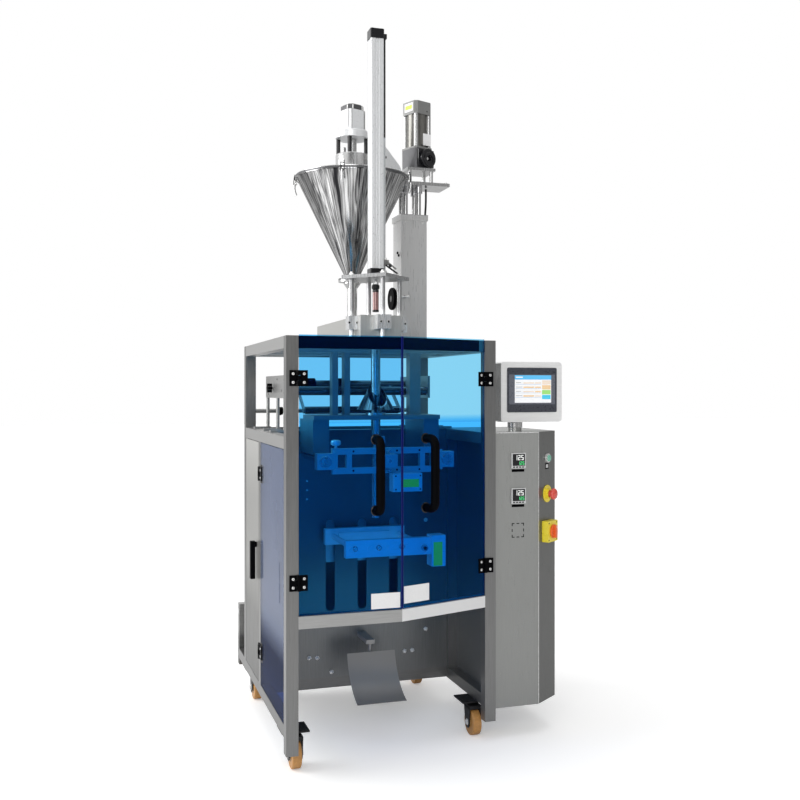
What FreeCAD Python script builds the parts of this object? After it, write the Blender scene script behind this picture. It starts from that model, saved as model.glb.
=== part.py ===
import FreeCAD, Part
import math
import os
import re
import Sketcher

# Vertical form fill seal machine with an auger filler. Millimetres, +Z up, the front faces -Y.
# Places are measured from the frame's front left corner on the floor. Each sub-part is then moved
# so that the origin lies on the floor under the middle of the machine.

SIZES = {
    "middle_x": 495, "middle_y": 474,
    "fit_gap": 0.3, "panel_gap": 2,
    # frame of square tube
    "tube": 38, "tube_wall": 2, "frame_width": 729, "frame_depth": 827,
    "post_top": 1340, "post_foot": 70, "right_setback": 107, "apex_x": 366,
    "rail_low": 118, "sill_low": 452, "mid_rail_low": 995, "header_low": 1302, "header_setback": 8,
    "mid_post_y": 459, "reel_reach": 170, "stub_drop": 26,
    "hanger_rail_y": 312, "column_rail_y": 581,
    # mechanism wall
    "wall_y": 478, "wall_sheet": 3, "slot_width": 33, "slot_low": 390, "slot_high": 715,
    "slot_left": 252, "slot_middle": 369, "slot_right": 487,
    "panel_sheet": 2,
    # casters
    "caster_inset": 45, "caster_setback": 116, "rear_caster_y": 834, "wheel_radius": 45, "wheel_width": 30,
    "caster_trail": 25, "caster_plate": 88, "plate_sheet": 5, "fork_gap": 3, "fork_sheet": 3,
    "axle_radius": 5, "tread_depth": 7,
    # doors
    "door_sheet": 5, "door_low": 493, "door_high": 1343, "door_gap": 2,
    "hinge_height": 48, "hinge_leaf": 22, "hinge_sheet": 4, "knuckle_radius": 5,
    "front_hinge_low": 568, "front_hinge_high": 1187, "side_hinge_low": 248, "side_hinge_high": 862,
    "handle_radius": 14, "handle_length": 248, "handle_low": 788, "handle_reach": 52,
    "handle_inset": 85, "right_handle_inset": 93,
    "handle_bend": 24,
    "side_slot_y": 112, "side_slot_low": 512, "side_slot_height": 127, "side_slot_width": 7,
    "rear_pin_radius": 3, "rear_pin_length": 30, "rear_barrel_radius": 5,
    "swing_y": 533, "swing_low": 509, "swing_height": 132, "swing_width": 24, "swing_depth": 16,
    # electrical cabinet
    "cabinet_low": 105, "cabinet_high": 1033, "cabinet_y": 126, "cabinet_face": 167,
    "cabinet_chamfer_x": 97, "cabinet_chamfer_y": 72, "cabinet_depth": 450, "cabinet_sheet": 2,
    "controller_size": 52, "controller_proud": 7, "controller_x": "=frame_width + 64",
    "controller_upper": 910,
    "controller_lower": 791, "label_drop": 12, "label_height": 9,
    "start_z": 940, "start_radius": 11, "start_ring": 14, "start_travel": 4,
    "estop_z": 817, "estop_collar": 30, "estop_radius": 20, "estop_travel": 5,
    "switch_z": 689, "switch_size": 72, "switch_depth": 24, "knob_radius": 24, "knob_depth": 14,
    # operator panel
    "hmi_post_x": "=frame_width + cabinet_face - 48", "hmi_post_y": 215, "hmi_post_radius": 23,
    "hmi_post_tall": 12, "hmi_left": "=hmi_post_x - 65", "hmi_width": 230, "hmi_y": 184, "hmi_depth": 60,
    "hmi_low": "=cabinet_high + 31", "hmi_height": 208,
    "hmi_corner": 12, "bezel_width": 186, "bezel_height": 147, "bezel_proud": 3, "bezel_raised": 7,
    # forming set
    "feed_x": 365, "feed_y": 290, "table_x": 143, "table_width": 443, "table_y": 257, "table_depth": 170,
    "table_low": 1075, "table_sheet": 15, "arm_width": 55, "arm_low": 960, "arm_y": 270,
    "forming_radius": 16, "forming_wall": 1.5, "forming_low": 742, "forming_high": 1340,
    "hanger_first_x": 219, "hanger_second_x": 261, "hanger_wide_x": 494, "hanger_width": 20,
    "flange_radius": 34, "flange_sheet": 8, "shoulder_gap": 2, "shoulder_low": 1108, "shoulder_high": 1190,
    "shoulder_reach": 62, "shoulder_sheet": 1.5,
    # feed trough
    "trough_half": 71, "trough_y": 225, "trough_length": 645, "trough_high": 1425, "trough_sheet": 2,
    # plunger cylinder
    "plunger_plate_low": 1550, "plunger_plate_sheet": 12, "plunger_plate_reach": 120, "stand_rod_reach": 85,
    "stand_rod_radius": 8, "clamp_low": 1378, "clamp_height": 47, "clamp_width": 48,
    "barrel_low": 1587, "barrel_high": 2366, "barrel_size": 46, "barrel_bore": 19, "cap_height": 35,
    "piston_rod_radius": 6, "piston_height": 20, "plunger_radius": 11, "plunger_low": 1440,
    "plunger_high": 1515,
    # lifting column
    "column_x": "=frame_width - 189", "column_y": 550, "column_size": 100, "column_wall": 4,
    "column_high": 1828,
    "collar_height": 21, "collar_lip": 4, "lift_plate_low": 1940, "lift_plate_sheet": 12,
    "lift_rod_radius": 9, "lift_rod_tail": 300, "lift_rod_spread": 26,
    "handwheel_z": 1517, "handwheel_radius": 42, "handwheel_depth": 14,
    # auger filler
    "auger_x": 346, "auger_y": 530, "cone_radius": 200, "cone_high": 1944, "cone_low": 1590,
    "cone_neck": 29, "hopper_sheet": 2, "rim_height": 8, "ferrule_radius": 50, "ferrule_height": 12,
    "tube_radius": 18, "tube_sheet": 2, "auger_pitch": 30, "auger_core": 5, "auger_blade": 15.4,
    "lid_sheet": 3, "drum_radius": 60, "drum_high": 2027, "spacer_high": 2085, "top_flange": 25,
    "filler_motor_size": 80, "filler_motor_high": 2193, "filler_motor_cap": 14,
    "arm_sheet": 10, "gusset_length": 120, "gusset_height": 90, "lift_plate_start": 14,
    "lift_plate_length": 176,
    "gearmotor_x": "=column_x + 78", "auger_turns": 7,
    "gearbox_high": 2082, "upper_plate_low": 1995, "gearmotor_radius": 44, "gearmotor_high": 2263,
    # horizontal jaws
    "jaw_low": 634, "jaw_height": 56, "jaw_x": 220, "jaw_length": 290, "jaw_thick": 24, "jaw_face": 14,
    "front_jaw_y": 135, "rear_jaw_y": 407, "jaw_rod_radius": 10, "carriage_y": 500, "carriage_sheet": 20,
    "carriage_low": 560, "carriage_height": 160, "bushing_radius": 15.5, "jaw_rod_tail": 680,
    # vertical sealer
    "sealer_y": 160, "sealer_low": 903, "sealer_high": 986, "sealer_x": 182, "sealer_length": 363,
    "sealer_bar": 20, "sealer_shaft_radius": 12, "sealer_shaft_left": 164, "sealer_shaft_right": 565,
    "sealer_block": 52, "heater_length": 230, "heater_low": 790, "heater_width": 22, "heater_depth": 20,
    "sealer_pin_radius": 5,
    # film unit
    "film_plate_x": 60, "film_plate_y": 327, "film_plate_depth": 367, "film_plate_low": 1147,
    "film_plate_high": 1225, "film_right_x": 582, "film_right_y": 372, "film_plate_sheet": 8,
    "film_rod_radius": 6, "roller_radius": 19,
    "feed_roller_y": 640, "feed_roller_z": 1192, "guide_roller_y": 385, "guide_roller_z": 1172,
    "dancer_pivot_y": 560, "dancer_pivot_z": 1180, "dancer_drop": 76, "dancer_reach": 112,
    "dancer_sheet": 6, "dancer_inset": 75, "back_shaft_z": 1095, "back_shaft_radius": 8,
    "reel_z": 300, "reel_shaft_radius": 12, "reel_cone": 45, "reel_post": 30,
    # discharge chute
    "chute_width": 171, "chute_sheet": 2, "chute_top_y": 345, "chute_top_z": 270, "chute_low_y": 209,
    "chute_low_z": 135, "chute_bend_y": 306, "chute_bend_z": 193,
    # hose along the cylinder and lead beside the column
    "hose_radius": 4,
}

doc = FreeCAD.newDocument("form_fill_seal_machine")
sheet = doc.addObject("Spreadsheet::Sheet", "sizes")
for row, (alias, value) in enumerate(SIZES.items(), start=1):
    sheet.set(f"A{row}", alias)
    sheet.set(f"B{row}", str(value))
    sheet.setAlias(f"B{row}", alias)
doc.recompute()

# Places worked out from the sizes
RIGHT_X = "(frame_width - tube)"
BACK_Y = "(frame_depth - tube)"
SETBACK_ANGLE = "atan(right_setback / (frame_width - tube - apex_x))"
SLANT_LENGTH = "sqrt((frame_width - tube - apex_x)^2 + right_setback^2)"
CHAMFER_ANGLE = "atan(cabinet_chamfer_y / cabinet_chamfer_x)"
CHAMFER_LENGTH = "sqrt(cabinet_chamfer_x^2 + cabinet_chamfer_y^2)"
RAIL_TOP = "(rail_low + tube)"
CABINET_RIGHT = "(frame_width + cabinet_face + cabinet_chamfer_x)"


def formula(text):
    """Points each size's name in an expression at its cell in the sheet."""
    return re.sub(r"[a-z_]+", lambda m: "sizes." + m.group() if m.group() in SIZES else m.group(), str(text))


def bind(item, field, text):
    item.setExpression(field, formula(text))


def place(item, spot):
    for axis, text in zip("xyz", spot):
        bind(item, "Placement.Base." + axis, text)
    return item


def box(name, spot, size):
    item = doc.addObject("Part::Box", name)
    for field, text in zip(("Length", "Width", "Height"), size):
        bind(item, field, text)
    return place(item, spot)


TURNS = {
    "z": FreeCAD.Rotation(),
    "y": FreeCAD.Rotation(FreeCAD.Vector(1, 0, 0), -90),
    "x": FreeCAD.Rotation(FreeCAD.Vector(0, 1, 0), 90),
}


def rod(name, axis, spot, radius, length):
    item = doc.addObject("Part::Cylinder", name)
    item.Placement.Rotation = TURNS[axis]
    bind(item, "Radius", radius)
    bind(item, "Height", length)
    return place(item, spot)


def cone(name, axis, spot, first, last, length):
    item = doc.addObject("Part::Cone", name)
    item.Placement.Rotation = TURNS[axis]
    bind(item, "Radius1", first)
    bind(item, "Radius2", last)
    bind(item, "Height", length)
    return place(item, spot)


def cut(name, base, *tools):
    for number, tool in enumerate(tools):
        item = doc.addObject("Part::Cut", f"{name}_{number}")
        item.Base = base
        item.Tool = tool
        base = item
    return base


def fuse(name, *pieces):
    item = doc.addObject("Part::MultiFuse", name)
    item.Shapes = list(pieces)
    return item


def sketch_on(body, role, points):
    """A closed outline on one of the body's planes, with every corner tied to the sheet."""
    outline = body.newObject("Sketcher::SketchObject", body.Name + "_outline")
    outline.AttachmentSupport = [(next(o for o in body.Origin.OriginFeatures if o.Role == role), "")]
    outline.MapMode = "FlatFace"
    probe = [[measure(text) for text in point] for point in points]
    count = len(points)
    for number in range(count):
        start, end = probe[number], probe[(number + 1) % count]
        outline.addGeometry(Part.LineSegment(FreeCAD.Vector(*start, 0), FreeCAD.Vector(*end, 0)))
    for number in range(count):
        outline.addConstraint(Sketcher.Constraint("Coincident", number, 2, (number + 1) % count, 1))
    for number, point in enumerate(points):
        for kind, text, value in zip(("DistanceX", "DistanceY"), point, probe[number]):
            index = outline.addConstraint(Sketcher.Constraint(kind, -1, 1, number, 1, value))
            outline.setExpression(f"Constraints[{index}]", formula(text))
    return outline


def measure(text):
    """The value that an expression has with the sheet's sizes."""
    result = sheet.evalExpression(str(text))
    return getattr(result, "Value", result)


def prism(name, role, points, length, spot=("0", "0", "0"), back=False):
    """A padded outline."""
    body = doc.addObject("PartDesign::Body", name)
    outline = sketch_on(body, role, points)
    pad = body.newObject("PartDesign::Pad", name + "_pad")
    pad.Profile = outline
    pad.Reversed = back
    bind(pad, "Length", length)
    return place(body, spot)


def turned(name, points, spot):
    """An outline of radius and height, turned about an upright axis."""
    body = doc.addObject("PartDesign::Body", name)
    outline = sketch_on(body, "XZ_Plane", points)
    turn = body.newObject("PartDesign::Revolution", name + "_turn")
    turn.Profile = outline
    turn.ReferenceAxis = (outline, ["V_Axis"])
    turn.Angle = 360
    return place(body, spot)


SUBPARTS = []


def subpart(label, pieces, spot=("0", "0", "0"), turn="0"):
    item = doc.addObject("Part::Compound", label)
    item.Links = list(pieces)
    item.Label = label
    bind(item, "Placement.Rotation.Angle", turn)
    place(item, (f"{spot[0]} - middle_x", f"{spot[1]} - middle_y", spot[2]))
    SUBPARTS.append(item)
    return item


def tube(name, axis, spot, length, capped=False):
    """A length of the frame's square tube, open at its ends unless its far end is capped."""
    size = {"x": (length, "tube", "tube"), "y": ("tube", length, "tube"), "z": ("tube", "tube", length)}[axis]
    lift = {"x": (0, 1, 1), "y": (1, 0, 1), "z": (1, 1, 0)}[axis]
    inner_spot = [f"{at} + {share} * tube_wall" for at, share in zip(spot, lift)]
    inner_size = [f"{long} - {2 * share} * tube_wall" for long, share in zip(size, lift)]
    if capped:
        inner_size["xyz".index(axis)] = f"{length} - tube_wall"
    return cut(name, box(name + "_outer", spot, size), box(name + "_inner", inner_spot, inner_size))


# Frame
POSTS = {
    "front_left": ("0", "0", "post_foot"), "front_right": (RIGHT_X, "right_setback", "post_foot"),
    "back_left": ("0", BACK_Y, RAIL_TOP), "back_right": (RIGHT_X, BACK_Y, RAIL_TOP),
}
posts = [tube("post_" + name, "z", spot, f"post_top - {spot[2]}", True) for name, spot in POSTS.items()]
for name, x in (("left", "0"), ("right", RIGHT_X)):
    posts.append(tube("post_middle_" + name, "z", (x, "mid_post_y", RAIL_TOP), f"mid_rail_low - {RAIL_TOP}"))
subpart("frame_posts", posts)

rails = []
for side, x, front in (("left", "0", "tube"), ("right", RIGHT_X, "right_setback + tube")):
    rails.append(
        tube("rail_low_" + side, "y", (x, front, "rail_low"), f"frame_depth + reel_reach - ({front})"))
    for level in ("mid_rail_low", "header_low"):
        rails.append(tube(f"{level}_{side}", "y", (x, front, level), f"{BACK_Y} - ({front})"))
INNER = "(frame_width - 2 * tube)"
REEL_END = "(frame_depth + reel_reach - tube)"
for level, y in (("rail_low", BACK_Y), ("mid_rail_low", BACK_Y), ("header_low", BACK_Y),
                 ("rail_low", "wall_y"), ("mid_rail_low", "wall_y + wall_sheet"),
                 ("header_low", "hanger_rail_y"), ("header_low", "column_rail_y"), ("rail_low", REEL_END)):
    rails.append(tube(f"cross_rail_{len(rails)}", "x", ("tube", y, level), INNER))
for side, x in (("left", "0"), ("right", RIGHT_X)):
    rails.append(tube("stub_" + side, "z", (x, REEL_END, "rail_low - stub_drop"), "stub_drop"))
    rails.append(
        tube("reel_post_" + side, "z", (x, REEL_END, RAIL_TOP), "reel_z - reel_post - rail_low - tube"))
PIN_X = "rear_barrel_radius"
PIN_Y = f"({BACK_Y} - panel_gap - rear_barrel_radius)"
for name, z in (("low", RAIL_TOP), ("high", "mid_rail_low - rear_pin_length")):
    rails.append(rod("rear_pin_" + name, "z", (PIN_X, PIN_Y, z), "rear_pin_radius", "rear_pin_length"))


def front_rail(name, low, setback):
    """The two welded tubes that run across the front and back round the apex to the right post."""
    lean = f"(tube * tan({SETBACK_ANGLE} / 2))"
    far_inner = f"right_setback + {setback} + tube / cos({SETBACK_ANGLE})"
    straight = [("tube", setback), ("apex_x", setback), (f"apex_x - {lean}", f"{setback} + tube"),
                ("tube", f"{setback} + tube")]
    slanted = [("apex_x", setback), (RIGHT_X, f"right_setback + {setback}"), (RIGHT_X, far_inner),
               (f"apex_x - {lean}", f"{setback} + tube")]
    at = ("0", "0", low)
    return [prism(name + "_straight", "XY_Plane", straight, "tube", at),
            prism(name + "_slanted", "XY_Plane", slanted, "tube", at)]


REEL_Y = f"({REEL_END} + tube / 2)"
for side, x in (("left", "0"), ("right", RIGHT_X)):
    hole = rod(
        "reel_hole_" + side, "x", (f"{x} - 1", REEL_Y, "reel_z"), "reel_shaft_radius + fit_gap", "tube + 2")
    rails.append(cut("reel_block_" + side, box("reel_blank_" + side, (x, REEL_END, "reel_z - reel_post"),
                                               ("tube", "tube", "2 * reel_post")), hole))
subpart("frame_rails", rails + front_rail("sill", "sill_low", "0")
        + front_rail("header", "header_low", "header_setback"))


def slot(name, x):
    """An upright slot with round ends, right through the wall."""
    depth = "3 * wall_sheet"
    front = "wall_y - wall_sheet"
    half = "slot_width / 2"
    ends = [rod(f"{name}_{z}", "y", (x, front, f"{z} {sign} {half}"), half, depth)
            for z, sign in (("slot_low", "+"), ("slot_high", "-"))]
    middle = box(name + "_middle", (f"{x} - {half}", front, f"slot_low + {half}"),
                 ("slot_width", depth, "slot_high - slot_low - slot_width"))
    return fuse(name, middle, *ends)


WALL = box(
    "wall_blank", ("tube", "wall_y", RAIL_TOP), (INNER, "wall_sheet", f"mid_rail_low + tube - {RAIL_TOP}"))
shaft_holes = [rod("shaft_hole_" + side, "y", (x, "wall_y - 1", "(sealer_low + sealer_high) / 2"),
                   "sealer_shaft_radius + fit_gap", "3 * wall_sheet")
               for side, x in (("left", "sealer_shaft_left"), ("right", "sealer_shaft_right"))]
subpart("mechanism_wall", [cut("wall", WALL, slot("slot_a", "slot_left"), slot("slot_b", "slot_middle"),
                               slot("slot_c", "slot_right"), *shaft_holes)])

PANEL_HIGH = f"(mid_rail_low - {RAIL_TOP})"
MID_POST_END = "(mid_post_y + tube)"
subpart("body_panels", [
    box("right_front_panel", ("frame_width - panel_sheet", "right_setback + tube", RAIL_TOP),
        ("panel_sheet", "mid_post_y - right_setback - tube", PANEL_HIGH)),
    box("right_rear_panel", ("frame_width - panel_sheet", MID_POST_END, RAIL_TOP),
        ("panel_sheet", f"{BACK_Y} - {MID_POST_END}", PANEL_HIGH)),
    box("back_panel", ("tube", "frame_depth - panel_sheet", RAIL_TOP), (INNER, "panel_sheet", PANEL_HIGH)),
])

# Casters
LEFT_CASTER_X = "caster_inset"
RIGHT_CASTER_X = "(frame_width - caster_inset)"
CASTERS = {
    "front_left": (LEFT_CASTER_X, "caster_setback"),
    "front_right": (RIGHT_CASTER_X, "right_setback + caster_setback"),
    "rear_left": (LEFT_CASTER_X, "rear_caster_y"), "rear_right": (RIGHT_CASTER_X, "rear_caster_y")}
PLATE_LOW = "(rail_low - plate_sheet)"
subpart("caster_plates", [
    box("caster_plate_" + name, (f"{x} - caster_plate / 2", f"{y} - caster_plate / 2", PLATE_LOW),
        ("caster_plate", "caster_plate", "plate_sheet")) for name, (x, y) in CASTERS.items()])
FORK_HALF = "(wheel_width / 2 + fork_gap)"
HEAD_RADIUS = "0.55 * wheel_radius"
for name, (x, y) in CASTERS.items():
    cheek = [("wheel_radius / 2", "2 * wheel_radius + 2"), ("wheel_radius / 2", f"{PLATE_LOW} - 4"),
             ("-wheel_radius * 0.6", f"{PLATE_LOW} - 4"), ("-caster_trail - 15", "wheel_radius + 10"),
             ("-caster_trail - 8", "wheel_radius - 10"), ("-caster_trail + 8", "wheel_radius - 10")]
    left_cheek = prism(
        f"fork_{name}_left", "YZ_Plane", cheek, "fork_sheet", (f"-{FORK_HALF} - fork_sheet", "0", "0"))
    right_cheek = prism(f"fork_{name}_right", "YZ_Plane", cheek, "fork_sheet", (FORK_HALF, "0", "0"))
    crown = box(f"fork_{name}_crown", (f"-{FORK_HALF}", "-0.6 * wheel_radius", f"{PLATE_LOW} - 8"),
                (f"2 * {FORK_HALF}", "1.1 * wheel_radius", "4"))
    head = rod(f"fork_{name}_head", "z", ("0", "0", f"{PLATE_LOW} - 4"), HEAD_RADIUS, "4 - fit_gap")
    axle = rod(f"fork_{name}_axle", "x", (f"-{FORK_HALF} - fork_sheet - 5", "-caster_trail", "wheel_radius"),
               "axle_radius", f"2 * {FORK_HALF} + 2 * fork_sheet + 10")
    pedal = box(f"fork_{name}_pedal", (f"-{FORK_HALF}", "-1.45 * wheel_radius", f"{PLATE_LOW} - 14"),
                (f"2 * {FORK_HALF}", "0.95 * wheel_radius", "6"))
    subpart(f"caster_fork_{name}", [fuse(f"fork_{name}", left_cheek, right_cheek, crown, head, axle, pedal)],
            (x, y, "0"))
    half = "wheel_width / 2"
    core = "(wheel_radius - tread_depth)"
    wheel = [
        ("axle_radius + fit_gap", f"-{half} - 1"), (core + " * 0.45", f"-{half} - 1"),
        (core + " * 0.5", f"-{half} + 5"), (core + " * 0.9", f"-{half} + 5"), (core, f"-{half}"),
        ("wheel_radius - 2", f"-{half}"), ("wheel_radius", f"-{half} + 2"), ("wheel_radius", f"{half} - 2"),
        ("wheel_radius - 2", half), (core, half), (core + " * 0.9", f"{half} - 5"),
        (core + " * 0.5", f"{half} - 5"), (core + " * 0.45", f"{half} + 1"),
        ("axle_radius + fit_gap", f"{half} + 1")]
    wheel_body = turned("wheel_" + name, wheel, ("0", "-caster_trail", "wheel_radius"))
    wheel_body.Placement.Rotation = TURNS["x"]
    subpart(f"caster_wheel_{name}", [wheel_body], (x, y, "0"))


# Doors and their hinges, each in a frame of its own with the pin as origin and the face one knuckle behind it
FACE_Y = "knuckle_radius"
LEAF_Y = "(knuckle_radius - hinge_sheet)"


def hinge_half(name, low, side, moving):
    """One leaf. side is 1 for the leaf on +X and -1 for -X. The moving leaf holds the outer knuckles."""
    start = "knuckle_radius + 1"
    width = "hinge_leaf"
    left = start if side > 0 else f"-({start}) - {width}"
    leaf = box(name + "_leaf", (left, LEAF_Y, low), (width, "hinge_sheet", "hinge_height"))
    third = "(hinge_height / 3)"
    bands = [low, f"{low} + 2 * {third} + 0.25"] if moving else [f"{low} + {third} + 0.25"]
    tall = f"{third} - 0.5" if not moving else f"{third} - 0.25"
    web_left = "0" if side > 0 else f"-({start})"
    pieces = [leaf]
    for number, band in enumerate(bands):
        pieces.append(rod(f"{name}_knuckle_{number}", "z", ("0", "0", band), "knuckle_radius", tall))
        pieces.append(box(f"{name}_web_{number}", (web_left, LEAF_Y, band), (start, "hinge_sheet", tall)))
    return fuse(name, *pieces)


def door_handle(name, x):
    """A bent tube on two stand-offs, in front of the door's face."""
    reach = f"(handle_reach - {FACE_Y})"
    bend = "handle_bend"
    high = "handle_low + handle_length - handle_radius"
    low = "handle_low + handle_radius"
    pieces = [rod(name + "_grip", "z", (x, f"-{reach}", f"{low} + {bend}"), "handle_radius",
                  f"handle_length - 2 * handle_radius - 2 * {bend}")]
    for end, z, corner_z, angle in (
        ("low", low, f"{low} + {bend}", 180), ("high", high, f"{high} - {bend}", 90)):
        pieces.append(
            rod(
                f"{name}_{end}_leg", "y", (x, f"-{reach} + {bend}", z), "handle_radius",
                f"handle_reach - {bend}"))
        corner = doc.addObject("Part::Torus", f"{name}_{end}_bend")
        bind(corner, "Radius1", bend)
        bind(corner, "Radius2", "handle_radius")
        corner.Angle3 = 90
        corner.Placement.Rotation = BENDS[end]
        pieces.append(place(corner, (x, f"-{reach} + {bend}", corner_z)))
    return fuse(name, *pieces)


# A quarter ring from +X to +Y, laid in the upright plane so that it joins the leg to the grip
BENDS = {
    "high": FreeCAD.Rotation(
        FreeCAD.Vector(0, -1, 0), FreeCAD.Vector(0, 0, 1), FreeCAD.Vector(-1, 0, 0), "XYZ"),
    "low": FreeCAD.Rotation(
        FreeCAD.Vector(0, 0, -1), FreeCAD.Vector(0, -1, 0), FreeCAD.Vector(-1, 0, 0), "XYZ")}
DOOR_HIGH = "(door_high - door_low)"
LEFT_PIN = ("tube", "-knuckle_radius", "0")
RIGHT_PIN = (RIGHT_X, "right_setback - knuckle_radius", "0")
LEFT_LENGTH = "(apex_x - tube - door_gap)"
RIGHT_LENGTH = f"({SLANT_LENGTH} - door_gap)"
FRONT_HINGES = ("front_hinge_low", "front_hinge_high")
subpart("left_door_panel", [box("left_acrylic", ("door_gap", FACE_Y, "door_low"),
                                (f"{LEFT_LENGTH} - door_gap", "door_sheet", DOOR_HIGH))], LEFT_PIN)
subpart(
    "left_door_hardware",
    [
        hinge_half(f"left_door_leaf_{n}", low, 1, True)
        for n, low in enumerate(FRONT_HINGES)
    ] + [door_handle("left_door_handle", f"{LEFT_LENGTH} + door_gap - handle_inset")],
    LEFT_PIN)
subpart(
    "right_door_panel",
    [
        box(
            "right_acrylic", (f"-{RIGHT_LENGTH}", FACE_Y, "door_low"),
            (f"{RIGHT_LENGTH} - door_gap", "door_sheet", DOOR_HIGH))],
    RIGHT_PIN, SETBACK_ANGLE)
subpart(
    "right_door_hardware",
    [
        hinge_half(f"right_door_leaf_{n}", low, -1, True)
        for n, low in enumerate(FRONT_HINGES)
    ] + [door_handle("right_door_handle", f"-{RIGHT_LENGTH} - door_gap + right_handle_inset")],
    RIGHT_PIN, SETBACK_ANGLE)

# The side door's frame is turned so that its leaf runs forward from the middle post
SIDE_PIN = ("-knuckle_radius", "mid_post_y", "0")
SIDE_HINGES = ("side_hinge_low", "side_hinge_high")
SIDE_LENGTH = "(mid_post_y - tube)"
SIDE_LOW = f"({RAIL_TOP} + panel_gap)"
SIDE_HIGH = "(mid_rail_low - rail_low - tube - 2 * panel_gap)"
side_sheet = box("side_acrylic", ("door_gap", FACE_Y, SIDE_LOW),
                 (f"{SIDE_LENGTH} - 2 * door_gap", "door_sheet", SIDE_HIGH))
finger_slot = box("side_finger_slot", ("mid_post_y - side_slot_y", "0", "side_slot_low"),
                  ("side_slot_width", "4 * door_sheet", "side_slot_height"))
subpart(
    "side_door",
    [cut("side_door_sheet", side_sheet, finger_slot)] + [
        hinge_half(f"side_door_leaf_{n}", low, 1, True)
        for n, low in enumerate(SIDE_HINGES)],
    SIDE_PIN, "-90")


def group(name, pieces, spot, turn="0"):
    """Pieces of a sub-part that share a frame of their own."""
    item = doc.addObject("Part::Compound", name)
    item.Links = pieces
    bind(item, "Placement.Rotation.Angle", turn)
    return place(item, spot)


post_leaves = []
for name, lows, side, pin, turn in (("left", FRONT_HINGES, -1, LEFT_PIN, "0"),
                                    ("right", FRONT_HINGES, 1, RIGHT_PIN, "0"),
                                    ("side", SIDE_HINGES, -1, SIDE_PIN, "-90")):
    leaves = [hinge_half(f"{name}_post_leaf_{n}", low, side, False) for n, low in enumerate(lows)]
    post_leaves.append(group(name + "_post_leaves", leaves, pin, turn))
subpart("post_hinge_leaves", post_leaves)

REAR_START = f"({MID_POST_END} + panel_gap)"
REAR_END = f"({PIN_Y} - rear_barrel_radius)"
rear_sheet = box(
    "rear_sheet", ("0", REAR_START, SIDE_LOW), ("panel_sheet", f"{REAR_END} - {REAR_START}", SIDE_HIGH))
rear_return = box("rear_return", ("0", REAR_START, SIDE_LOW), ("tube / 2", "panel_sheet", SIDE_HIGH))
barrel_low = f"({SIDE_LOW} + 2)"
BARREL_TALL = f"({SIDE_HIGH} - 4)"
rear_barrel = cut(
    "rear_barrel",
    rod("rear_barrel_outer", "z", (PIN_X, PIN_Y, barrel_low), "rear_barrel_radius", BARREL_TALL),
    rod("rear_barrel_bore", "z", (PIN_X, PIN_Y, barrel_low), "rear_pin_radius + 0.1", BARREL_TALL))
rear_tab = box(
    "rear_tab", ("0", f"{REAR_END} - 1", barrel_low), ("panel_sheet", "rear_barrel_radius", BARREL_TALL))
rear_tab_cut = rod("rear_tab_cut", "z", (PIN_X, PIN_Y, barrel_low), "rear_pin_radius + 0.1", BARREL_TALL)
subpart(
    "rear_door_panel",
    [
        cut(
            "rear_door", fuse("rear_door_blank", rear_sheet, rear_return, rear_barrel, rear_tab),
            rear_tab_cut)])
subpart(
    "rear_door_handle",
    [
        fuse(
            "swing_handle",
            box(
                "swing_lever", ("-swing_depth - 6", "swing_y", "swing_low"),
                ("swing_depth", "swing_width", "swing_height")),
            rod(
                "swing_boss", "x",
                ("-6 - fit_gap", "swing_y + swing_width / 2", "swing_low + swing_height - swing_width / 2"),
                "swing_width * 0.4", "6"))])

# Electrical cabinet with its chamfered corner
BEND = f"(cabinet_sheet * tan({CHAMFER_ANGLE} / 2))"
CABINET_BACK = "(cabinet_y + cabinet_depth)"
SHEET = "cabinet_sheet"
cabinet_outline = [("frame_width", "cabinet_y"), ("frame_width + cabinet_face", "cabinet_y"),
                   (CABINET_RIGHT, "cabinet_y + cabinet_chamfer_y"), (CABINET_RIGHT, CABINET_BACK),
                   ("frame_width", CABINET_BACK)]
cabinet_hollow = [(f"frame_width + {SHEET}", f"cabinet_y + {SHEET}"),
                  (f"frame_width + cabinet_face - {BEND}", f"cabinet_y + {SHEET}"),
                  (f"{CABINET_RIGHT} - {SHEET}", f"cabinet_y + cabinet_chamfer_y + {BEND}"),
                  (f"{CABINET_RIGHT} - {SHEET}", f"{CABINET_BACK} - {SHEET}"),
                  (f"frame_width + {SHEET}", f"{CABINET_BACK} - {SHEET}")]
shell = prism(
    "cabinet_outer", "XY_Plane", cabinet_outline, "cabinet_high - cabinet_low", ("0", "0", "cabinet_low"))
hollow = prism("cabinet_inner", "XY_Plane", cabinet_hollow, f"cabinet_high - cabinet_low - 2 * {SHEET}",
               ("0", "0", f"cabinet_low + {SHEET}"))
panel_post = rod("panel_post", "z", ("hmi_post_x", "hmi_post_y", "cabinet_high"), "hmi_post_radius",
                 "hmi_post_tall")
subpart("cabinet_shell", [cut("cabinet", shell, hollow), panel_post])


def controller(name, low):
    face = box(name + "_case", ("controller_x", "cabinet_y - controller_proud", low),
               ("controller_size", "controller_proud", "controller_size"))
    label = box(name + "_label", ("controller_x + 3", "cabinet_y - 1", f"{low} - label_drop"),
                ("controller_size - 6", "1", "label_height"))
    return [face, label]


CHAMFER_SPOT = ("frame_width + cabinet_face", "cabinet_y", "0")
MIDDLE = f"{CHAMFER_LENGTH} / 2"


def on_chamfer(label, pieces):
    subpart(label, pieces, CHAMFER_SPOT, CHAMFER_ANGLE)


def ring(name, z, outer, inner, depth):
    spot = (MIDDLE, f"-{depth}", z)
    return cut(
        name, rod(name + "_outer", "y", spot, outer, depth), rod(name + "_inner", "y", spot, inner, depth))


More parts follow.
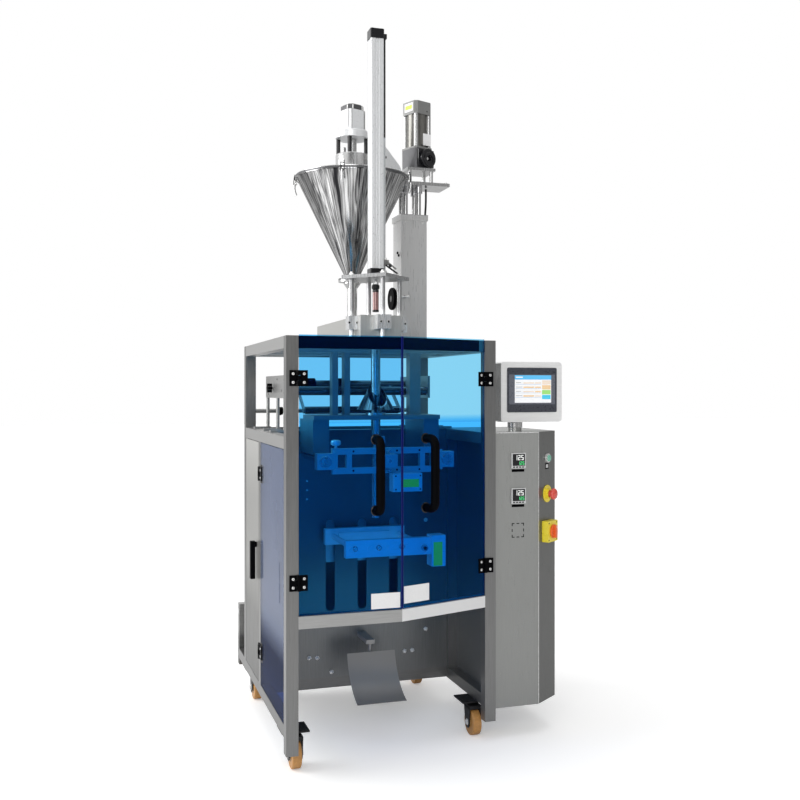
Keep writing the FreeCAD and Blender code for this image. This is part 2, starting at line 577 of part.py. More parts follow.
def stem(name, z, radius, near, far):
    """A round piece square to the chamfered face, from near to far in front of it."""
    return rod(name, "y", (MIDDLE, f"-({far})", z), radius, f"{far} - ({near})")


collars = [ring("start_ring_piece", "start_z", "start_ring", "start_radius + fit_gap", "6"),
           ring("estop_ring_piece", "estop_z", "estop_collar", "estop_radius * 0.6 + fit_gap", "8"),
           box("switch_case", (f"{MIDDLE} - switch_size / 2", "-switch_depth", "switch_z - switch_size / 2"),
               ("switch_size", "switch_depth", "switch_size"))]
subpart("panel_controls", controller("upper_controller", "controller_upper")
        + controller("lower_controller", "controller_lower")
        + [group("chamfer_controls", collars, CHAMFER_SPOT, CHAMFER_ANGLE)])
on_chamfer("start_button", [stem("start_cap", "start_z", "start_radius", "start_travel + 0.5",
                                    "start_travel + 9")])
EDGE = "8 + fit_gap + estop_travel"
on_chamfer(
    "estop_button",
    [
        fuse(
            "mushroom",
            stem("estop_stem", "estop_z", "estop_radius * 0.6", "estop_travel + 0.5", f"{EDGE} + 4"),
            stem("estop_head", "estop_z", "estop_radius", EDGE, f"{EDGE} + 14"))])
KNOB_NEAR = "switch_depth + fit_gap"
on_chamfer(
    "switch_knob",
    [
        fuse(
            "knob", stem("knob_disc", "switch_z", "knob_radius", KNOB_NEAR, f"{KNOB_NEAR} + 6"),
            box(
                "knob_grip", (f"{MIDDLE} - 7", f"-({KNOB_NEAR}) - knob_depth", "switch_z - knob_radius"),
                ("14", "knob_depth", "2 * knob_radius")))])

# Operator panel on its post
case = box("panel_case", ("hmi_left", "hmi_y", "hmi_low"), ("hmi_width", "hmi_depth", "hmi_height"))
rounded = doc.addObject("Part::Fillet", "panel_case_rounded")
rounded.Base = case
doc.recompute()
depth_edges = [n for n, edge in enumerate(case.Shape.Edges, 1)
               if abs(edge.tangentAt(edge.FirstParameter).y) > 0.9]
rounded.Edges = [(n, measure("hmi_corner"), measure("hmi_corner")) for n in depth_edges]
subpart(
    "operator_panel",
    [
        rounded,
        rod(
            "panel_swivel", "z", ("hmi_post_x", "hmi_post_y", "cabinet_high + hmi_post_tall + fit_gap"),
            "hmi_post_radius + 3", "hmi_low - cabinet_high - hmi_post_tall - fit_gap"),
        box(
            "screen_bezel",
            (
                "hmi_left + (hmi_width - bezel_width) / 2", "hmi_y - bezel_proud",
                "hmi_low + (hmi_height - bezel_height) / 2 + bezel_raised"),
            ("bezel_width", "bezel_proud", "bezel_height"))])

# Forming set
TABLE_TOP = "(table_low + table_sheet)"
table = cut(
    "table",
    box("table_blank", ("table_x", "table_y", "table_low"), ("table_width", "table_depth", "table_sheet")),
    rod("table_hole", "z", ("feed_x", "feed_y", "table_low - 1"), "forming_radius + 0.1", "table_sheet + 2")
)
arms = [box(f"table_arm_{n}", (x, "arm_y", "arm_low"), ("arm_width", "wall_y - arm_y", "table_low - arm_low"))
        for n, x in enumerate(("table_x", "table_x + table_width - arm_width"))]
hangers = [
    box(f"hanger_{n}", (x, "hanger_rail_y", TABLE_TOP), (wide, "tube", f"header_low - {TABLE_TOP}"))
    for n, (x, wide) in enumerate(
        (
            ("hanger_first_x", "hanger_width"), ("hanger_second_x", "hanger_width"),
            ("hanger_wide_x", "2 * hanger_width")))]
subpart("forming_table", [table] + arms + hangers)

FORMING_BORE = "(forming_radius - forming_wall)"
outer = rod(
    "forming_outer", "z", ("feed_x", "feed_y", "forming_low"), "forming_radius",
    "forming_high - forming_low")
flange = rod("forming_flange", "z", ("feed_x", "feed_y", TABLE_TOP), "flange_radius", "flange_sheet")
bore = rod(
    "forming_bore", "z", ("feed_x", "feed_y", "forming_low - 1"), FORMING_BORE,
    "forming_high - forming_low + 2")
subpart("forming_tube", [cut("forming", fuse("forming_blank", outer, flange), bore)])

SHOULDER_RADIUS = "(forming_radius + shoulder_gap)"


# The film climbs the flare from behind, turns in over its slanted crown and runs down inside the sleeve.
FLARE_SHEET = "(1.4 * shoulder_sheet)"
flare = turned("shoulder_flare", [(SHOULDER_RADIUS, "shoulder_high"), ("shoulder_reach", "shoulder_low"),
                                  (f"shoulder_reach + {FLARE_SHEET}", "shoulder_low"),
                                  (f"{SHOULDER_RADIUS} + {FLARE_SHEET}", "shoulder_high")],
               ("feed_x", "feed_y", "0"))
sleeve = rod("shoulder_sleeve", "z", ("feed_x", "feed_y", f"{TABLE_TOP} + flange_sheet"),
             f"{SHOULDER_RADIUS} + shoulder_sheet", f"shoulder_high - {TABLE_TOP} - flange_sheet")
sleeve_room = rod(
    "sleeve_room", "z", ("feed_x", "feed_y", TABLE_TOP), SHOULDER_RADIUS, "shoulder_high - table_low + 60")
crown = box("shoulder_crown", ("feed_x - 2 * shoulder_reach", "feed_y - shoulder_reach", "shoulder_low + 6"),
            ("4 * shoulder_reach", "3 * shoulder_reach", "3 * shoulder_reach"))
crown.Placement.Rotation = FreeCAD.Rotation(FreeCAD.Vector(1, 0, 0), 45)
subpart("forming_shoulder", [cut("shoulder", fuse("shoulder_blank", sleeve, flare), sleeve_room, crown)])

# Feed trough
TROUGH_X = "(feed_x - trough_half)"
trough_blank = box("trough_blank", (TROUGH_X, "trough_y", "post_top"),
                   ("2 * trough_half", "trough_length", "trough_high - post_top"))
trough_room = box(
    "trough_room", (f"{TROUGH_X} + trough_sheet", "trough_y + trough_sheet", "post_top + trough_sheet"),
    (
        "2 * trough_half - 2 * trough_sheet", "trough_length - 2 * trough_sheet",
        "trough_high - post_top - 2 * trough_sheet"))
plunger_hole = rod("plunger_hole", "z", ("feed_x", "feed_y", "trough_high - 10"), "plunger_radius + 4", "20")
outlet = rod("outlet_hole", "z", ("feed_x", "feed_y", "post_top - 5"), FORMING_BORE, "20")
auger_hole = rod("auger_hole", "z", ("auger_x", "auger_y", "trough_high - 10"), "tube_radius + fit_gap", "20")
subpart("feed_trough", [cut("trough", trough_blank, trough_room, plunger_hole, outlet, auger_hole)])

# Plunger cylinder on its stand
PLATE_TOP = "(plunger_plate_low + plunger_plate_sheet)"
ROD_HOLE = "piston_rod_radius + fit_gap"
diamond = [("-plunger_plate_reach", "0"), ("0", "-plunger_plate_reach"), ("plunger_plate_reach", "0"),
           ("0", "plunger_plate_reach")]
top_plate = cut("stand_plate", prism("stand_plate_blank", "XY_Plane", diamond, "plunger_plate_sheet",
                                     ("feed_x", "feed_y", "plunger_plate_low")),
                rod("stand_plate_hole", "z", ("feed_x", "feed_y", "plunger_plate_low - 1"), ROD_HOLE,
                    "plunger_plate_sheet + 2"))
STAND_RODS = (("feed_x - stand_rod_reach", "feed_y", "post_top + 5"),
              ("feed_x + stand_rod_reach", "feed_y", "post_top + 5"),
              ("feed_x", "feed_y - stand_rod_reach", "post_top + 5"),
              ("feed_x", "feed_y + stand_rod_reach", "trough_high"))
stand = [rod(f"stand_rod_{n}", "z", spot, "stand_rod_radius", f"plunger_plate_low - ({spot[2]})")
         for n, spot in enumerate(STAND_RODS)]

SIDE_DEPTH = "(2 * (stand_rod_reach - trough_half))"
FRONT_DEPTH = "(2 * (stand_rod_reach - feed_y + trough_y))"
CLAMPS = (
    ("left", f"feed_x - trough_half - {SIDE_DEPTH}", "feed_y - clamp_width / 2", SIDE_DEPTH, "clamp_width"),
    ("right", "feed_x + trough_half", "feed_y - clamp_width / 2", SIDE_DEPTH, "clamp_width"),
    ("front", "feed_x - clamp_width / 2", f"trough_y - {FRONT_DEPTH}", "clamp_width", FRONT_DEPTH))
clamps = []
for (name, x, y, wide, deep), spot in zip(CLAMPS, STAND_RODS):
    hole = rod("clamp_hole_" + name, "z", (spot[0], spot[1], "clamp_low - 1"), "stand_rod_radius + 0.1",
               "clamp_height + 2")
    clamps.append(
        cut(
            "clamp_" + name, box("clamp_blank_" + name, (x, y, "clamp_low"), (wide, deep, "clamp_height")),
            hole))
subpart("cylinder_stand", [top_plate] + stand + clamps)


def square_on_axis(name, low, size, tall, hole):
    blank = box(
        name + "_blank", (f"feed_x - ({size}) / 2", f"feed_y - ({size}) / 2", low), (size, size, tall))
    if not hole:
        return blank
    return cut(name, blank, rod(name + "_hole", "z", ("feed_x", "feed_y", f"{low} - 1"), hole, f"{tall} + 2"))


subpart(
    "plunger_cylinder",
    [
        square_on_axis("barrel", "barrel_low", "barrel_size", "barrel_high - barrel_low", "barrel_bore"),
        square_on_axis(
            "end_block_piece", PLATE_TOP, "barrel_size + 4", f"barrel_low - {PLATE_TOP}", ROD_HOLE),
        square_on_axis("top_cap", "barrel_high", "barrel_size + 4", "cap_height", None)])
HOSE_X = "(feed_x + barrel_size / 2 + 2 * hose_radius)"
FITTING_X = "(feed_x + barrel_size / 2 + 2)"


def hose_fitting(name, low, tall):
    """A small elbow on the cylinder's side, or a clip, with the hose inside it."""
    return box(
        name, (FITTING_X, "feed_y - hose_radius - 3", low),
        (f"{HOSE_X} + hose_radius + 3 - {FITTING_X}", "2 * hose_radius + 6", tall))


CLIPS = [box(f"hose_clip_{n}", ("feed_x + barrel_size / 2", "feed_y - hose_radius - 2",
                                f"barrel_low + {share} * (barrel_high - barrel_low)"),
             ("2 * hose_radius", "2 * hose_radius + 4", "10")) for n, share in enumerate((0.2, 0.5, 0.8))]
subpart("air_hose", [fuse("air_hose_piece", rod("air_hose_run", "z", (HOSE_X, "feed_y", f"{PLATE_TOP} + 8"),
                                                "hose_radius", f"barrel_high + 12 - {PLATE_TOP} - 8"),
                          hose_fitting("hose_elbow_low", f"{PLATE_TOP} + 4", "16"),
                          hose_fitting("hose_elbow_high", "barrel_high + 6", "16"), *CLIPS)])
AXIS_X = ("feed_x", "feed_y")
PISTON_LOW = "(barrel_high - piston_height - 2)"
COUPLING_RADIUS = f"({FORMING_BORE} - 1.5)"
subpart(
    "plunger",
    [
        fuse(
            "piston",
            rod(
                "piston_rod", "z", (*AXIS_X, "plunger_high"), "piston_rod_radius",
                f"{PISTON_LOW} - plunger_high"),
            rod("piston_head", "z", (*AXIS_X, PISTON_LOW), "barrel_bore - fit_gap", "piston_height"),
            rod("plunger_coupling", "z", (*AXIS_X, "plunger_high"), COUPLING_RADIUS, "18")),
        rod("tip", "z", (*AXIS_X, "plunger_low"), "plunger_radius", "plunger_high - plunger_low")])

# Lifting column
COLUMN_MIDDLE = ("column_x + column_size / 2", "column_y + column_size / 2")
CORNERS = [(i, j) for i in (-1, 1) for j in (-1, 1)]


def lift_rod_spot(i, j, low):
    return (f"{COLUMN_MIDDLE[0]} + {i} * lift_rod_spread", f"{COLUMN_MIDDLE[1]} + {j} * lift_rod_spread", low)


column_outer = box("column_outer", ("column_x", "column_y", "post_top"),
                   ("column_size", "column_size", "column_high - post_top"))
column_room = box("column_room", ("column_x + column_wall", "column_y + column_wall", "post_top - 1"),
                  ("column_size - 2 * column_wall", "column_size - 2 * column_wall",
                   "column_high - post_top - column_wall + 1"))
lip = box("column_lip", ("column_x - collar_lip", "column_y - collar_lip", "column_high - collar_height"),
          ("column_size + 2 * collar_lip", "column_size + 2 * collar_lip", "collar_height"))
rod_holes = [rod(f"column_hole_{n}", "z", lift_rod_spot(i, j, "column_high - collar_height"),
                 "lift_rod_radius + fit_gap", "2 * collar_height") for n, (i, j) in enumerate(CORNERS)]
subpart("lifting_column", [cut("column", fuse("column_blank", column_outer, lip), column_room, *rod_holes)])


def lead(points):
    """A round lead along straight runs, each corner rounded by an arc as large as its runs allow."""
    spots = [FreeCAD.Vector(*[measure(text) for text in point]) for point in points]
    edges, start = [], spots[0]
    for before, corner, after in zip(spots, spots[1:], spots[2:]):
        near, far = (before - corner), (after - corner)
        trim = 0.45 * min(near.Length, far.Length)
        first, last = corner + near * (trim / near.Length), corner + far * (trim / far.Length)
        half = near.getAngle(far) / 2
        inward = (first + last) * 0.5 - corner
        centre = corner + inward * (trim / math.cos(half) / inward.Length)
        middle = centre + (corner - centre) * (trim * math.tan(half) / (corner - centre).Length)
        edges += [Part.LineSegment(start, first).toShape(), Part.Arc(first, middle, last).toShape()]
        start = last
    edges.append(Part.LineSegment(start, spots[-1]).toShape())
    path = Part.Wire(edges)
    radius = measure("hose_radius")
    section = Part.Wire(Part.makeCircle(radius, spots[0], spots[1] - spots[0]))
    tube_shape = path.makePipeShell([section], True, False)
    if abs(tube_shape.Volume / (math.pi * radius ** 2 * path.Length) - 1) > 0.01:
        raise RuntimeError("the lead's tube does not have its section all along")
    return tube_shape


COLUMN_SIDE = "(column_x + column_size)"
LEAD_ROUTE = ((0, 12), (70, 12), (150, 8), (230, 13), (310, 9), (390, 13), (470, 9), (540, 14), (597, 14))
cable = doc.addObject("Part::Feature", "motor_cable_run")
cable.Shape = lead(
    [(f"{COLUMN_SIDE} + {out}", COLUMN_MIDDLE[1], f"post_top + {up}") for up, out in LEAD_ROUTE])
subpart("motor_cable", [cable])
WHEEL_SPOT = ("column_x - handwheel_depth - 12", COLUMN_MIDDLE[1], "handwheel_z")
subpart("handwheel", [fuse(
    "wheel_disc", rod("handwheel_rim", "x", WHEEL_SPOT, "handwheel_radius", "handwheel_depth"),
    rod("handwheel_hub", "x", WHEEL_SPOT, "handwheel_radius / 3", "handwheel_depth + 12 - fit_gap"))])

# Filler head, which rides on the column's rods
LIFT_TOP = "(lift_plate_low + lift_plate_sheet)"
lift_rods = [
    rod(
        f"lift_rod_{n}", "z", lift_rod_spot(i, j, "lift_plate_low - lift_rod_tail"), "lift_rod_radius",
        "lift_rod_tail")
    for n, (i, j) in enumerate(CORNERS)]
lift_plate = box("lift_plate", ("column_x + lift_plate_start", "column_y - 5", "lift_plate_low"),
                 ("lift_plate_length", "column_size + 15", "lift_plate_sheet"))
standoffs = [
    rod(
        f"standoff_{i}_{j}", "z", (f"gearmotor_x + {i} * 42", f"{COLUMN_MIDDLE[1]} + {j} * 42", LIFT_TOP),
        "7", f"upper_plate_low - {LIFT_TOP}")
    for i, j in CORNERS]
upper_plate = box("upper_plate", ("gearmotor_x - 55", f"{COLUMN_MIDDLE[1]} - 55", "upper_plate_low"),
                  ("110", "110", "arm_sheet"))
arm_bar = box("arm_bar", ("auger_x + drum_radius + 5", "column_y + 10", LIFT_TOP),
              ("gearmotor_x - 60 - auger_x - drum_radius - 5", "column_size - 40", "arm_sheet"))
gusset = prism(
    "arm_gusset", "XZ_Plane", [("0", "0"), ("gusset_length", "0"), ("0", "gusset_height")], "arm_sheet",
    ("auger_x + drum_radius + 5", "column_y + column_size / 2", f"{LIFT_TOP} + arm_sheet"))
subpart("lift_frame", [lift_plate, upper_plate, fuse("arm", arm_bar, gusset)] + lift_rods + standoffs)
GEARBOX_LOW = "(upper_plate_low + arm_sheet)"
subpart(
    "agitator_motor",
    [
        fuse(
            "gearmotor",
            box(
                "gearbox",
                ("gearmotor_x - gearmotor_radius", f"{COLUMN_MIDDLE[1]} - gearmotor_radius", GEARBOX_LOW),
                ("2 * gearmotor_radius", "2 * gearmotor_radius", f"gearbox_high - {GEARBOX_LOW}")),
            rod(
                "gearmotor_case", "z", ("gearmotor_x", COLUMN_MIDDLE[1], "gearbox_high"),
                "gearmotor_radius", "gearmotor_high - gearbox_high"))])

HOPPER_LOW = "(cone_low - 18)"
hopper_profile = [("cone_neck - hopper_sheet", HOPPER_LOW), ("ferrule_radius", HOPPER_LOW),
                  ("ferrule_radius", f"{HOPPER_LOW} + ferrule_height / 2"),
                  ("cone_neck", f"{HOPPER_LOW} + ferrule_height / 2"), ("cone_neck", "cone_low"),
                  ("cone_radius", "cone_high - rim_height"), ("cone_radius + 6", "cone_high - rim_height"),
                  ("cone_radius + 6", "cone_high"), ("cone_radius - hopper_sheet", "cone_high"),
                  ("cone_neck - hopper_sheet", "cone_low")]
AUGER_SPOT = ("auger_x", "auger_y", "0")
subpart("hopper", [turned("hopper_cone", hopper_profile, AUGER_SPOT)])
TUBE_LOW = "(post_top + trough_sheet + 10)"
tube_profile = [("tube_radius - tube_sheet", TUBE_LOW), ("tube_radius", TUBE_LOW),
                ("tube_radius", f"{HOPPER_LOW} - 30"), ("cone_neck + 2", f"{HOPPER_LOW} - ferrule_height"),
                ("cone_neck + 2", f"{HOPPER_LOW} - ferrule_height / 2"),
                ("ferrule_radius", f"{HOPPER_LOW} - ferrule_height / 2"), ("ferrule_radius", HOPPER_LOW),
                ("cone_neck - hopper_sheet", HOPPER_LOW), ("tube_radius - tube_sheet", f"{HOPPER_LOW} - 26")]
subpart("auger_tube", [turned("auger_tube_piece", tube_profile, AUGER_SPOT)])
LID_TOP = LIFT_TOP
SHAFT_HOLE = "auger_core + 2"
lid_profile = [(SHAFT_HOLE, "cone_high"), ("cone_radius + 6", "cone_high"),
               ("cone_radius + 6", "cone_high + lid_sheet"), ("drum_radius + 30", "cone_high + lid_sheet"),
               ("drum_radius + 30", LID_TOP), (SHAFT_HOLE, LID_TOP)]
drum_profile = [("drum_radius - lid_sheet", LID_TOP), ("drum_radius", LID_TOP), ("drum_radius", "drum_high"),
                (SHAFT_HOLE, "drum_high"), (SHAFT_HOLE, "drum_high - lid_sheet"),
                ("drum_radius - lid_sheet", "drum_high - lid_sheet")]
spacers = [
    rod(
        f"spacer_{i}_{j}", "z",
        (f"auger_x + {i} * drum_radius * 0.6", f"auger_y + {j} * drum_radius * 0.6", "drum_high"), "7",
        "spacer_high - drum_high")
    for i, j in CORNERS]
subpart("drive_stand", [turned("drum", drum_profile, AUGER_SPOT)] + spacers
        + [rod("drive_flange", "z", ("auger_x", "auger_y", "spacer_high"), "drum_radius", "top_flange")])
FLANGE_TOP = "(spacer_high + top_flange)"
HALF_MOTOR = "filler_motor_size / 2"
subpart(
    "filler_motor",
    [
        fuse(
            "filler_motor_piece",
            box(
                "motor_case", (f"auger_x - {HALF_MOTOR}", f"auger_y - {HALF_MOTOR}", FLANGE_TOP),
                ("filler_motor_size", "filler_motor_size", f"filler_motor_high - {FLANGE_TOP}")),
            rod(
                "motor_cap", "z", ("auger_x", "auger_y", "filler_motor_high"), f"{HALF_MOTOR} - 4",
                "filler_motor_cap"))])

screw = doc.addObject("PartDesign::Body", "auger_flight")
blade = sketch_on(screw, "XZ_Plane", [("auger_core - 1", "0"), ("auger_blade", "0"), ("auger_blade", "2"),
                                      ("auger_core - 1", "2")])
flight = screw.newObject("PartDesign::AdditiveHelix", "flight")
flight.Profile = blade
flight.ReferenceAxis = (blade, ["V_Axis"])
flight.Mode = 0
bind(flight, "Pitch", "auger_pitch")
bind(flight, "Height", "auger_turns * auger_pitch")
place(screw, ("auger_x", "auger_y", f"{TUBE_LOW} + 4"))
subpart("auger_screw", [fuse("auger", screw,
                             rod("auger_shaft", "z", ("auger_x", "auger_y", f"{TUBE_LOW} + 4"), "auger_core",
                                 f"spacer_high - 2 - {TUBE_LOW} - 4"),
                             rod("auger_coupling", "z", ("auger_x", "auger_y", "drum_high + 6"), "15",
                                 "spacer_high - drum_high - 8"))])

latches = []
for name, i, j in (("left", -1, 0), ("right", 1, 0), ("front", 0, -1), ("back", 0, 1)):
    x = f"auger_x + {i} * (cone_radius + 6)"
    y = f"auger_y + {j} * (cone_radius + 6)"
    wide = ("8", "20") if i else ("20", "8")
    shift_x = {-1: "-8", 1: "0", 0: "-10"}[i]
    shift_y = {-1: "-8", 1: "0", 0: "-10"}[j]
    latches.append(box("latch_" + name, (f"{x} + ({shift_x})", f"{y} + ({shift_y})", "cone_high - 36"),
                       (*wide, f"36 + lid_sheet + 6")))
subpart("hopper_lid", [turned("lid", lid_profile, AUGER_SPOT)] + latches)

# Horizontal jaws on their lifting carriage
JAW_Z = "(jaw_low + jaw_height / 2)"
ROD_XS = ("slot_left", "slot_right")


def along_y(name, x, near, far, radius, z=JAW_Z):
    return rod(name, "y", (x, near, z), radius, f"{far} - ({near})")


carriage_blank = box("carriage_blank", ("slot_left - 30", "carriage_y", "carriage_low"),
                     ("slot_right - slot_left + 60", "carriage_sheet", "carriage_height"))
bushings = [along_y(f"bushing_{n}", x, "wall_y - 28", "carriage_y", "bushing_radius")
            for n, x in enumerate((*ROD_XS, "slot_middle"))]
bores = [
    along_y(
        f"bushing_bore_{n}", x, "wall_y - 40", "carriage_y + carriage_sheet + 200",
        "jaw_rod_radius + fit_gap")
    for n, x in enumerate((*ROD_XS, "slot_middle"))]
jaw_cylinder = box("jaw_cylinder", ("slot_middle - 25", "carriage_y + carriage_sheet", f"{JAW_Z} - 25"),
                   ("50", "150", "50"))
GUIDE_Y = "(carriage_y + carriage_sheet + 20)"
GUIDE_XS = ("slot_left + 50", "slot_right - 50")
runners = [box(f"runner_{n}", (f"{x} - 18", "carriage_y + carriage_sheet", "carriage_low"),
               ("36", "40", "carriage_height")) for n, x in enumerate(GUIDE_XS)]
runner_bores = [rod(f"runner_bore_{n}", "z", (x, GUIDE_Y, "carriage_low - 1"), "jaw_rod_radius + fit_gap",
                    "carriage_height + 2") for n, x in enumerate(GUIDE_XS)]
subpart(
    "jaw_carriage",
    [
        cut(
            "carriage", fuse("carriage_piece", carriage_blank, jaw_cylinder, *bushings, *runners), *bores,
            *runner_bores)])
GUIDE_LOW = "(slot_low - 70)"
GUIDE_HIGH = "(slot_high + 60)"
WALL_BACK = "(wall_y + wall_sheet)"
guides = [rod(f"guide_{n}", "z", (x, GUIDE_Y, GUIDE_LOW), "jaw_rod_radius", f"{GUIDE_HIGH} - {GUIDE_LOW}")
          for n, x in enumerate(GUIDE_XS)]
for number, low in enumerate((f"{GUIDE_LOW} - 15", GUIDE_HIGH)):
    guides.append(box(f"guide_bracket_{number}", ("slot_left + 20", WALL_BACK, low),
                      ("slot_right - slot_left - 40", f"{GUIDE_Y} + 20 - {WALL_BACK}", "15")))

FACE_Z = "jaw_low + jaw_height / 4"
front_bar = box("front_bar", ("jaw_x", "front_jaw_y", "jaw_low"), ("jaw_length", "jaw_thick", "jaw_height"))
front_face = box("front_face", ("jaw_x + 36 + jaw_rod_radius", "front_jaw_y + jaw_thick", FACE_Z),
                 ("jaw_length - 105", "jaw_face", "jaw_height / 2"))
jaw_rods = [along_y(f"jaw_rod_{n}", x, "front_jaw_y + jaw_thick", "jaw_rod_tail", "jaw_rod_radius")
            for n, x in enumerate(ROD_XS)]
yoke = box(
    "yoke", ("slot_left - 20", "jaw_rod_tail", f"{JAW_Z} - 20"), ("slot_right - slot_left + 40", "20", "40")
)
bolts = [
    along_y(
        f"jaw_bolt_{n}", f"jaw_x + 20 + {n} * (jaw_length - 40) / 4", "front_jaw_y - 6", "front_jaw_y", "8")
    for n in range(5)]
subpart("front_jaw", [fuse("front_jaw_piece", front_bar, front_face, yoke, *jaw_rods, *bolts),
                      box("jaw_box", ("jaw_x + jaw_length", "front_jaw_y - 8", "jaw_low - 40"),
                                 ("48", "50", "102"))])
rear_bar = box(
    "rear_bar", ("jaw_x", "rear_jaw_y + jaw_face", "jaw_low"), ("jaw_length", "jaw_thick", "jaw_height"))
rear_face = box("rear_face", ("jaw_x + 36 + jaw_rod_radius", "rear_jaw_y", FACE_Z),
                ("jaw_length - 105", "jaw_face", "jaw_height / 2"))
push_rod = along_y(
    "push_rod", "slot_middle", "rear_jaw_y + jaw_face + jaw_thick", "carriage_y + carriage_sheet + 140",
    "jaw_rod_radius")
passing = [along_y(f"passing_{n}", x, "rear_jaw_y - 1", "rear_jaw_y + 60", "jaw_rod_radius + fit_gap")
           for n, x in enumerate(ROD_XS)]
subpart("rear_jaw", [cut("rear_jaw_piece", fuse("rear_jaw_blank", rear_bar, rear_face, push_rod), *passing)])

# Vertical sealer on its ladder
SEALER_Z = "((sealer_low + sealer_high) / 2)"
LADDER_BACK = "(sealer_y + sealer_bar)"
ladder = [
    box(
        "ladder_low", ("sealer_x", "sealer_y", "sealer_low"), ("sealer_length", "sealer_bar", "sealer_bar")
    ),
    box(
        "ladder_high", ("sealer_x", "sealer_y", "sealer_high - sealer_bar"),
        ("sealer_length", "sealer_bar", "sealer_bar"))]
for number, share in enumerate((0, 0.13, 0.82, 0.93)):
    ladder.append(
        box(
            f"ladder_post_{number}", (f"sealer_x + {share} * sealer_length", "sealer_y", "sealer_low"),
            ("18", "sealer_bar", "sealer_high - sealer_low")))
ladder.append(box("sealer_cylinder", ("feed_x - 25", "sealer_y - 40", "sealer_low + sealer_bar"),
                  ("50", "40 + sealer_bar", "sealer_high - sealer_low - 2 * sealer_bar")))
for name, x in (("left", "sealer_x - sealer_block"), ("right", "sealer_x + sealer_length")):
    ladder.append(box("ladder_block_" + name, (x, "sealer_y - 8", f"{SEALER_Z} - sealer_block / 2"),
                      ("sealer_block", "sealer_bar + 16", "sealer_block")))
PIN_ZS = ("sealer_low + sealer_bar / 2", SEALER_Z, "sealer_high - sealer_bar / 2")
ladder_holes = [along_y(f"ladder_hole_{n}", "feed_x", "sealer_y - 60", f"{LADDER_BACK} + 20",
                        "sealer_pin_radius + fit_gap", z) for n, z in enumerate(PIN_ZS)]
ladder_holes += [
    along_y(
        "ladder_shaft_hole_" + x, x, "sealer_y - 60", f"{LADDER_BACK} + 20", "sealer_shaft_radius + 0.1",
        SEALER_Z)
    for x in ("sealer_shaft_left", "sealer_shaft_right")]
subpart("sealer_ladder", [cut("ladder", fuse("ladder_blank", *ladder), *ladder_holes)])
subpart("guide_shafts", guides + [along_y(f"sealer_shaft_{n}", x, "sealer_y - 20", "wall_y + 14",
                                          "sealer_shaft_radius", SEALER_Z)
                                  for n, x in enumerate(("sealer_shaft_left", "sealer_shaft_right"))])
subpart("sealer_junction_box", [box("sealer_box", ("feed_x + 12", "sealer_y - 36", "sealer_low - 60"),
                                    ("100", "46", "60"))])
HEATER_Y = f"({LADDER_BACK} + 34)"
heater = box("heater", ("feed_x - heater_width / 2", HEATER_Y, "heater_low"),
             ("heater_width", "heater_depth", "heater_length"))
pins = [along_y(f"sealer_pin_{n}", "feed_x", "sealer_y - 38", HEATER_Y, "sealer_pin_radius", z)
        for n, z in enumerate(PIN_ZS)]
subpart("vertical_sealer", [fuse("sealer_piece", heater, *pins)])

# Film unit at the top of the back
PLATES = {
    "left": ("film_plate_x", "film_plate_y", ("film_plate_y + 20", "film_plate_y + 150")),
    "right": ("film_right_x", "film_right_y", ("film_plate_y + 173", "film_plate_y + 263"))}
PLATE_END = "(film_plate_y + film_plate_depth)"
film_frame = []
SPINDLES = {"feed": ("feed_roller_y", "feed_roller_z"), "guide": ("guide_roller_y", "guide_roller_z"),
            "dancer": ("dancer_pivot_y", "dancer_pivot_z")}
for side, (x, front, foot_ys) in PLATES.items():
    holes = [rod(f"film_hole_{side}_{name}", "x", (f"{x} - 2", y, z), "film_rod_radius + fit_gap",
                 "film_plate_sheet + 4")
             for name, (y, z) in SPINDLES.items()]
    film_frame.append(cut("film_plate_" + side, box(
        "film_plate_blank_" + side, (x, front, "film_plate_low"),
        ("film_plate_sheet", f"{PLATE_END} - {front}", "film_plate_high - film_plate_low")), *holes))
    foot_x = "tube / 3" if side == "left" else f"{x} - 6"
    foot_end = f"{x} + film_plate_sheet + 6" if side == "left" else "frame_width - tube / 3"
    for number, y in enumerate((*foot_ys, f"{PLATE_END} - 20")):
        film_frame.append(box(f"film_foot_{side}_{number}", (foot_x, f"{y} - 12", "mid_rail_low + tube"),
                              (f"{foot_end} - ({foot_x})", "24", "8")))
        film_frame.append(rod(f"film_rod_{side}_{number}", "z",
                              (f"{x} + film_plate_sheet / 2", y, "mid_rail_low + tube + 8"),
                              "film_rod_radius", "film_plate_low - mid_rail_low - tube - 8"))
film_frame.append(rod("back_shaft", "x", ("tube", f"{BACK_Y} + tube / 2", "back_shaft_z"),
                      "back_shaft_radius", INNER))
KNOB_SPOT = ("dancer_pivot_y - 24", "dancer_pivot_z + 2")
film_frame.append(fuse("knob_star", rod("star_body", "x", ("film_plate_x - 22", *KNOB_SPOT), "13", "14"),
                       rod("star_stem", "x", ("film_plate_x - 8", *KNOB_SPOT), "5", "8")))
subpart("film_unit_frame", film_frame)
ROLLER_X = "(film_plate_x + film_plate_sheet + 4)"
ROLLER_LENGTH = "(film_right_x - film_plate_x - film_plate_sheet - 8)"
SPINDLE_LENGTH = "(film_right_x + film_plate_sheet - film_plate_x)"


def roller(label, y, z, radius):
    subpart(
        label,
        [
            fuse(
                label + "_piece", rod(label + "_barrel", "x", (ROLLER_X, y, z), radius, ROLLER_LENGTH),
                rod(label + "_spindle", "x", ("film_plate_x", y, z), "film_rod_radius", SPINDLE_LENGTH))])


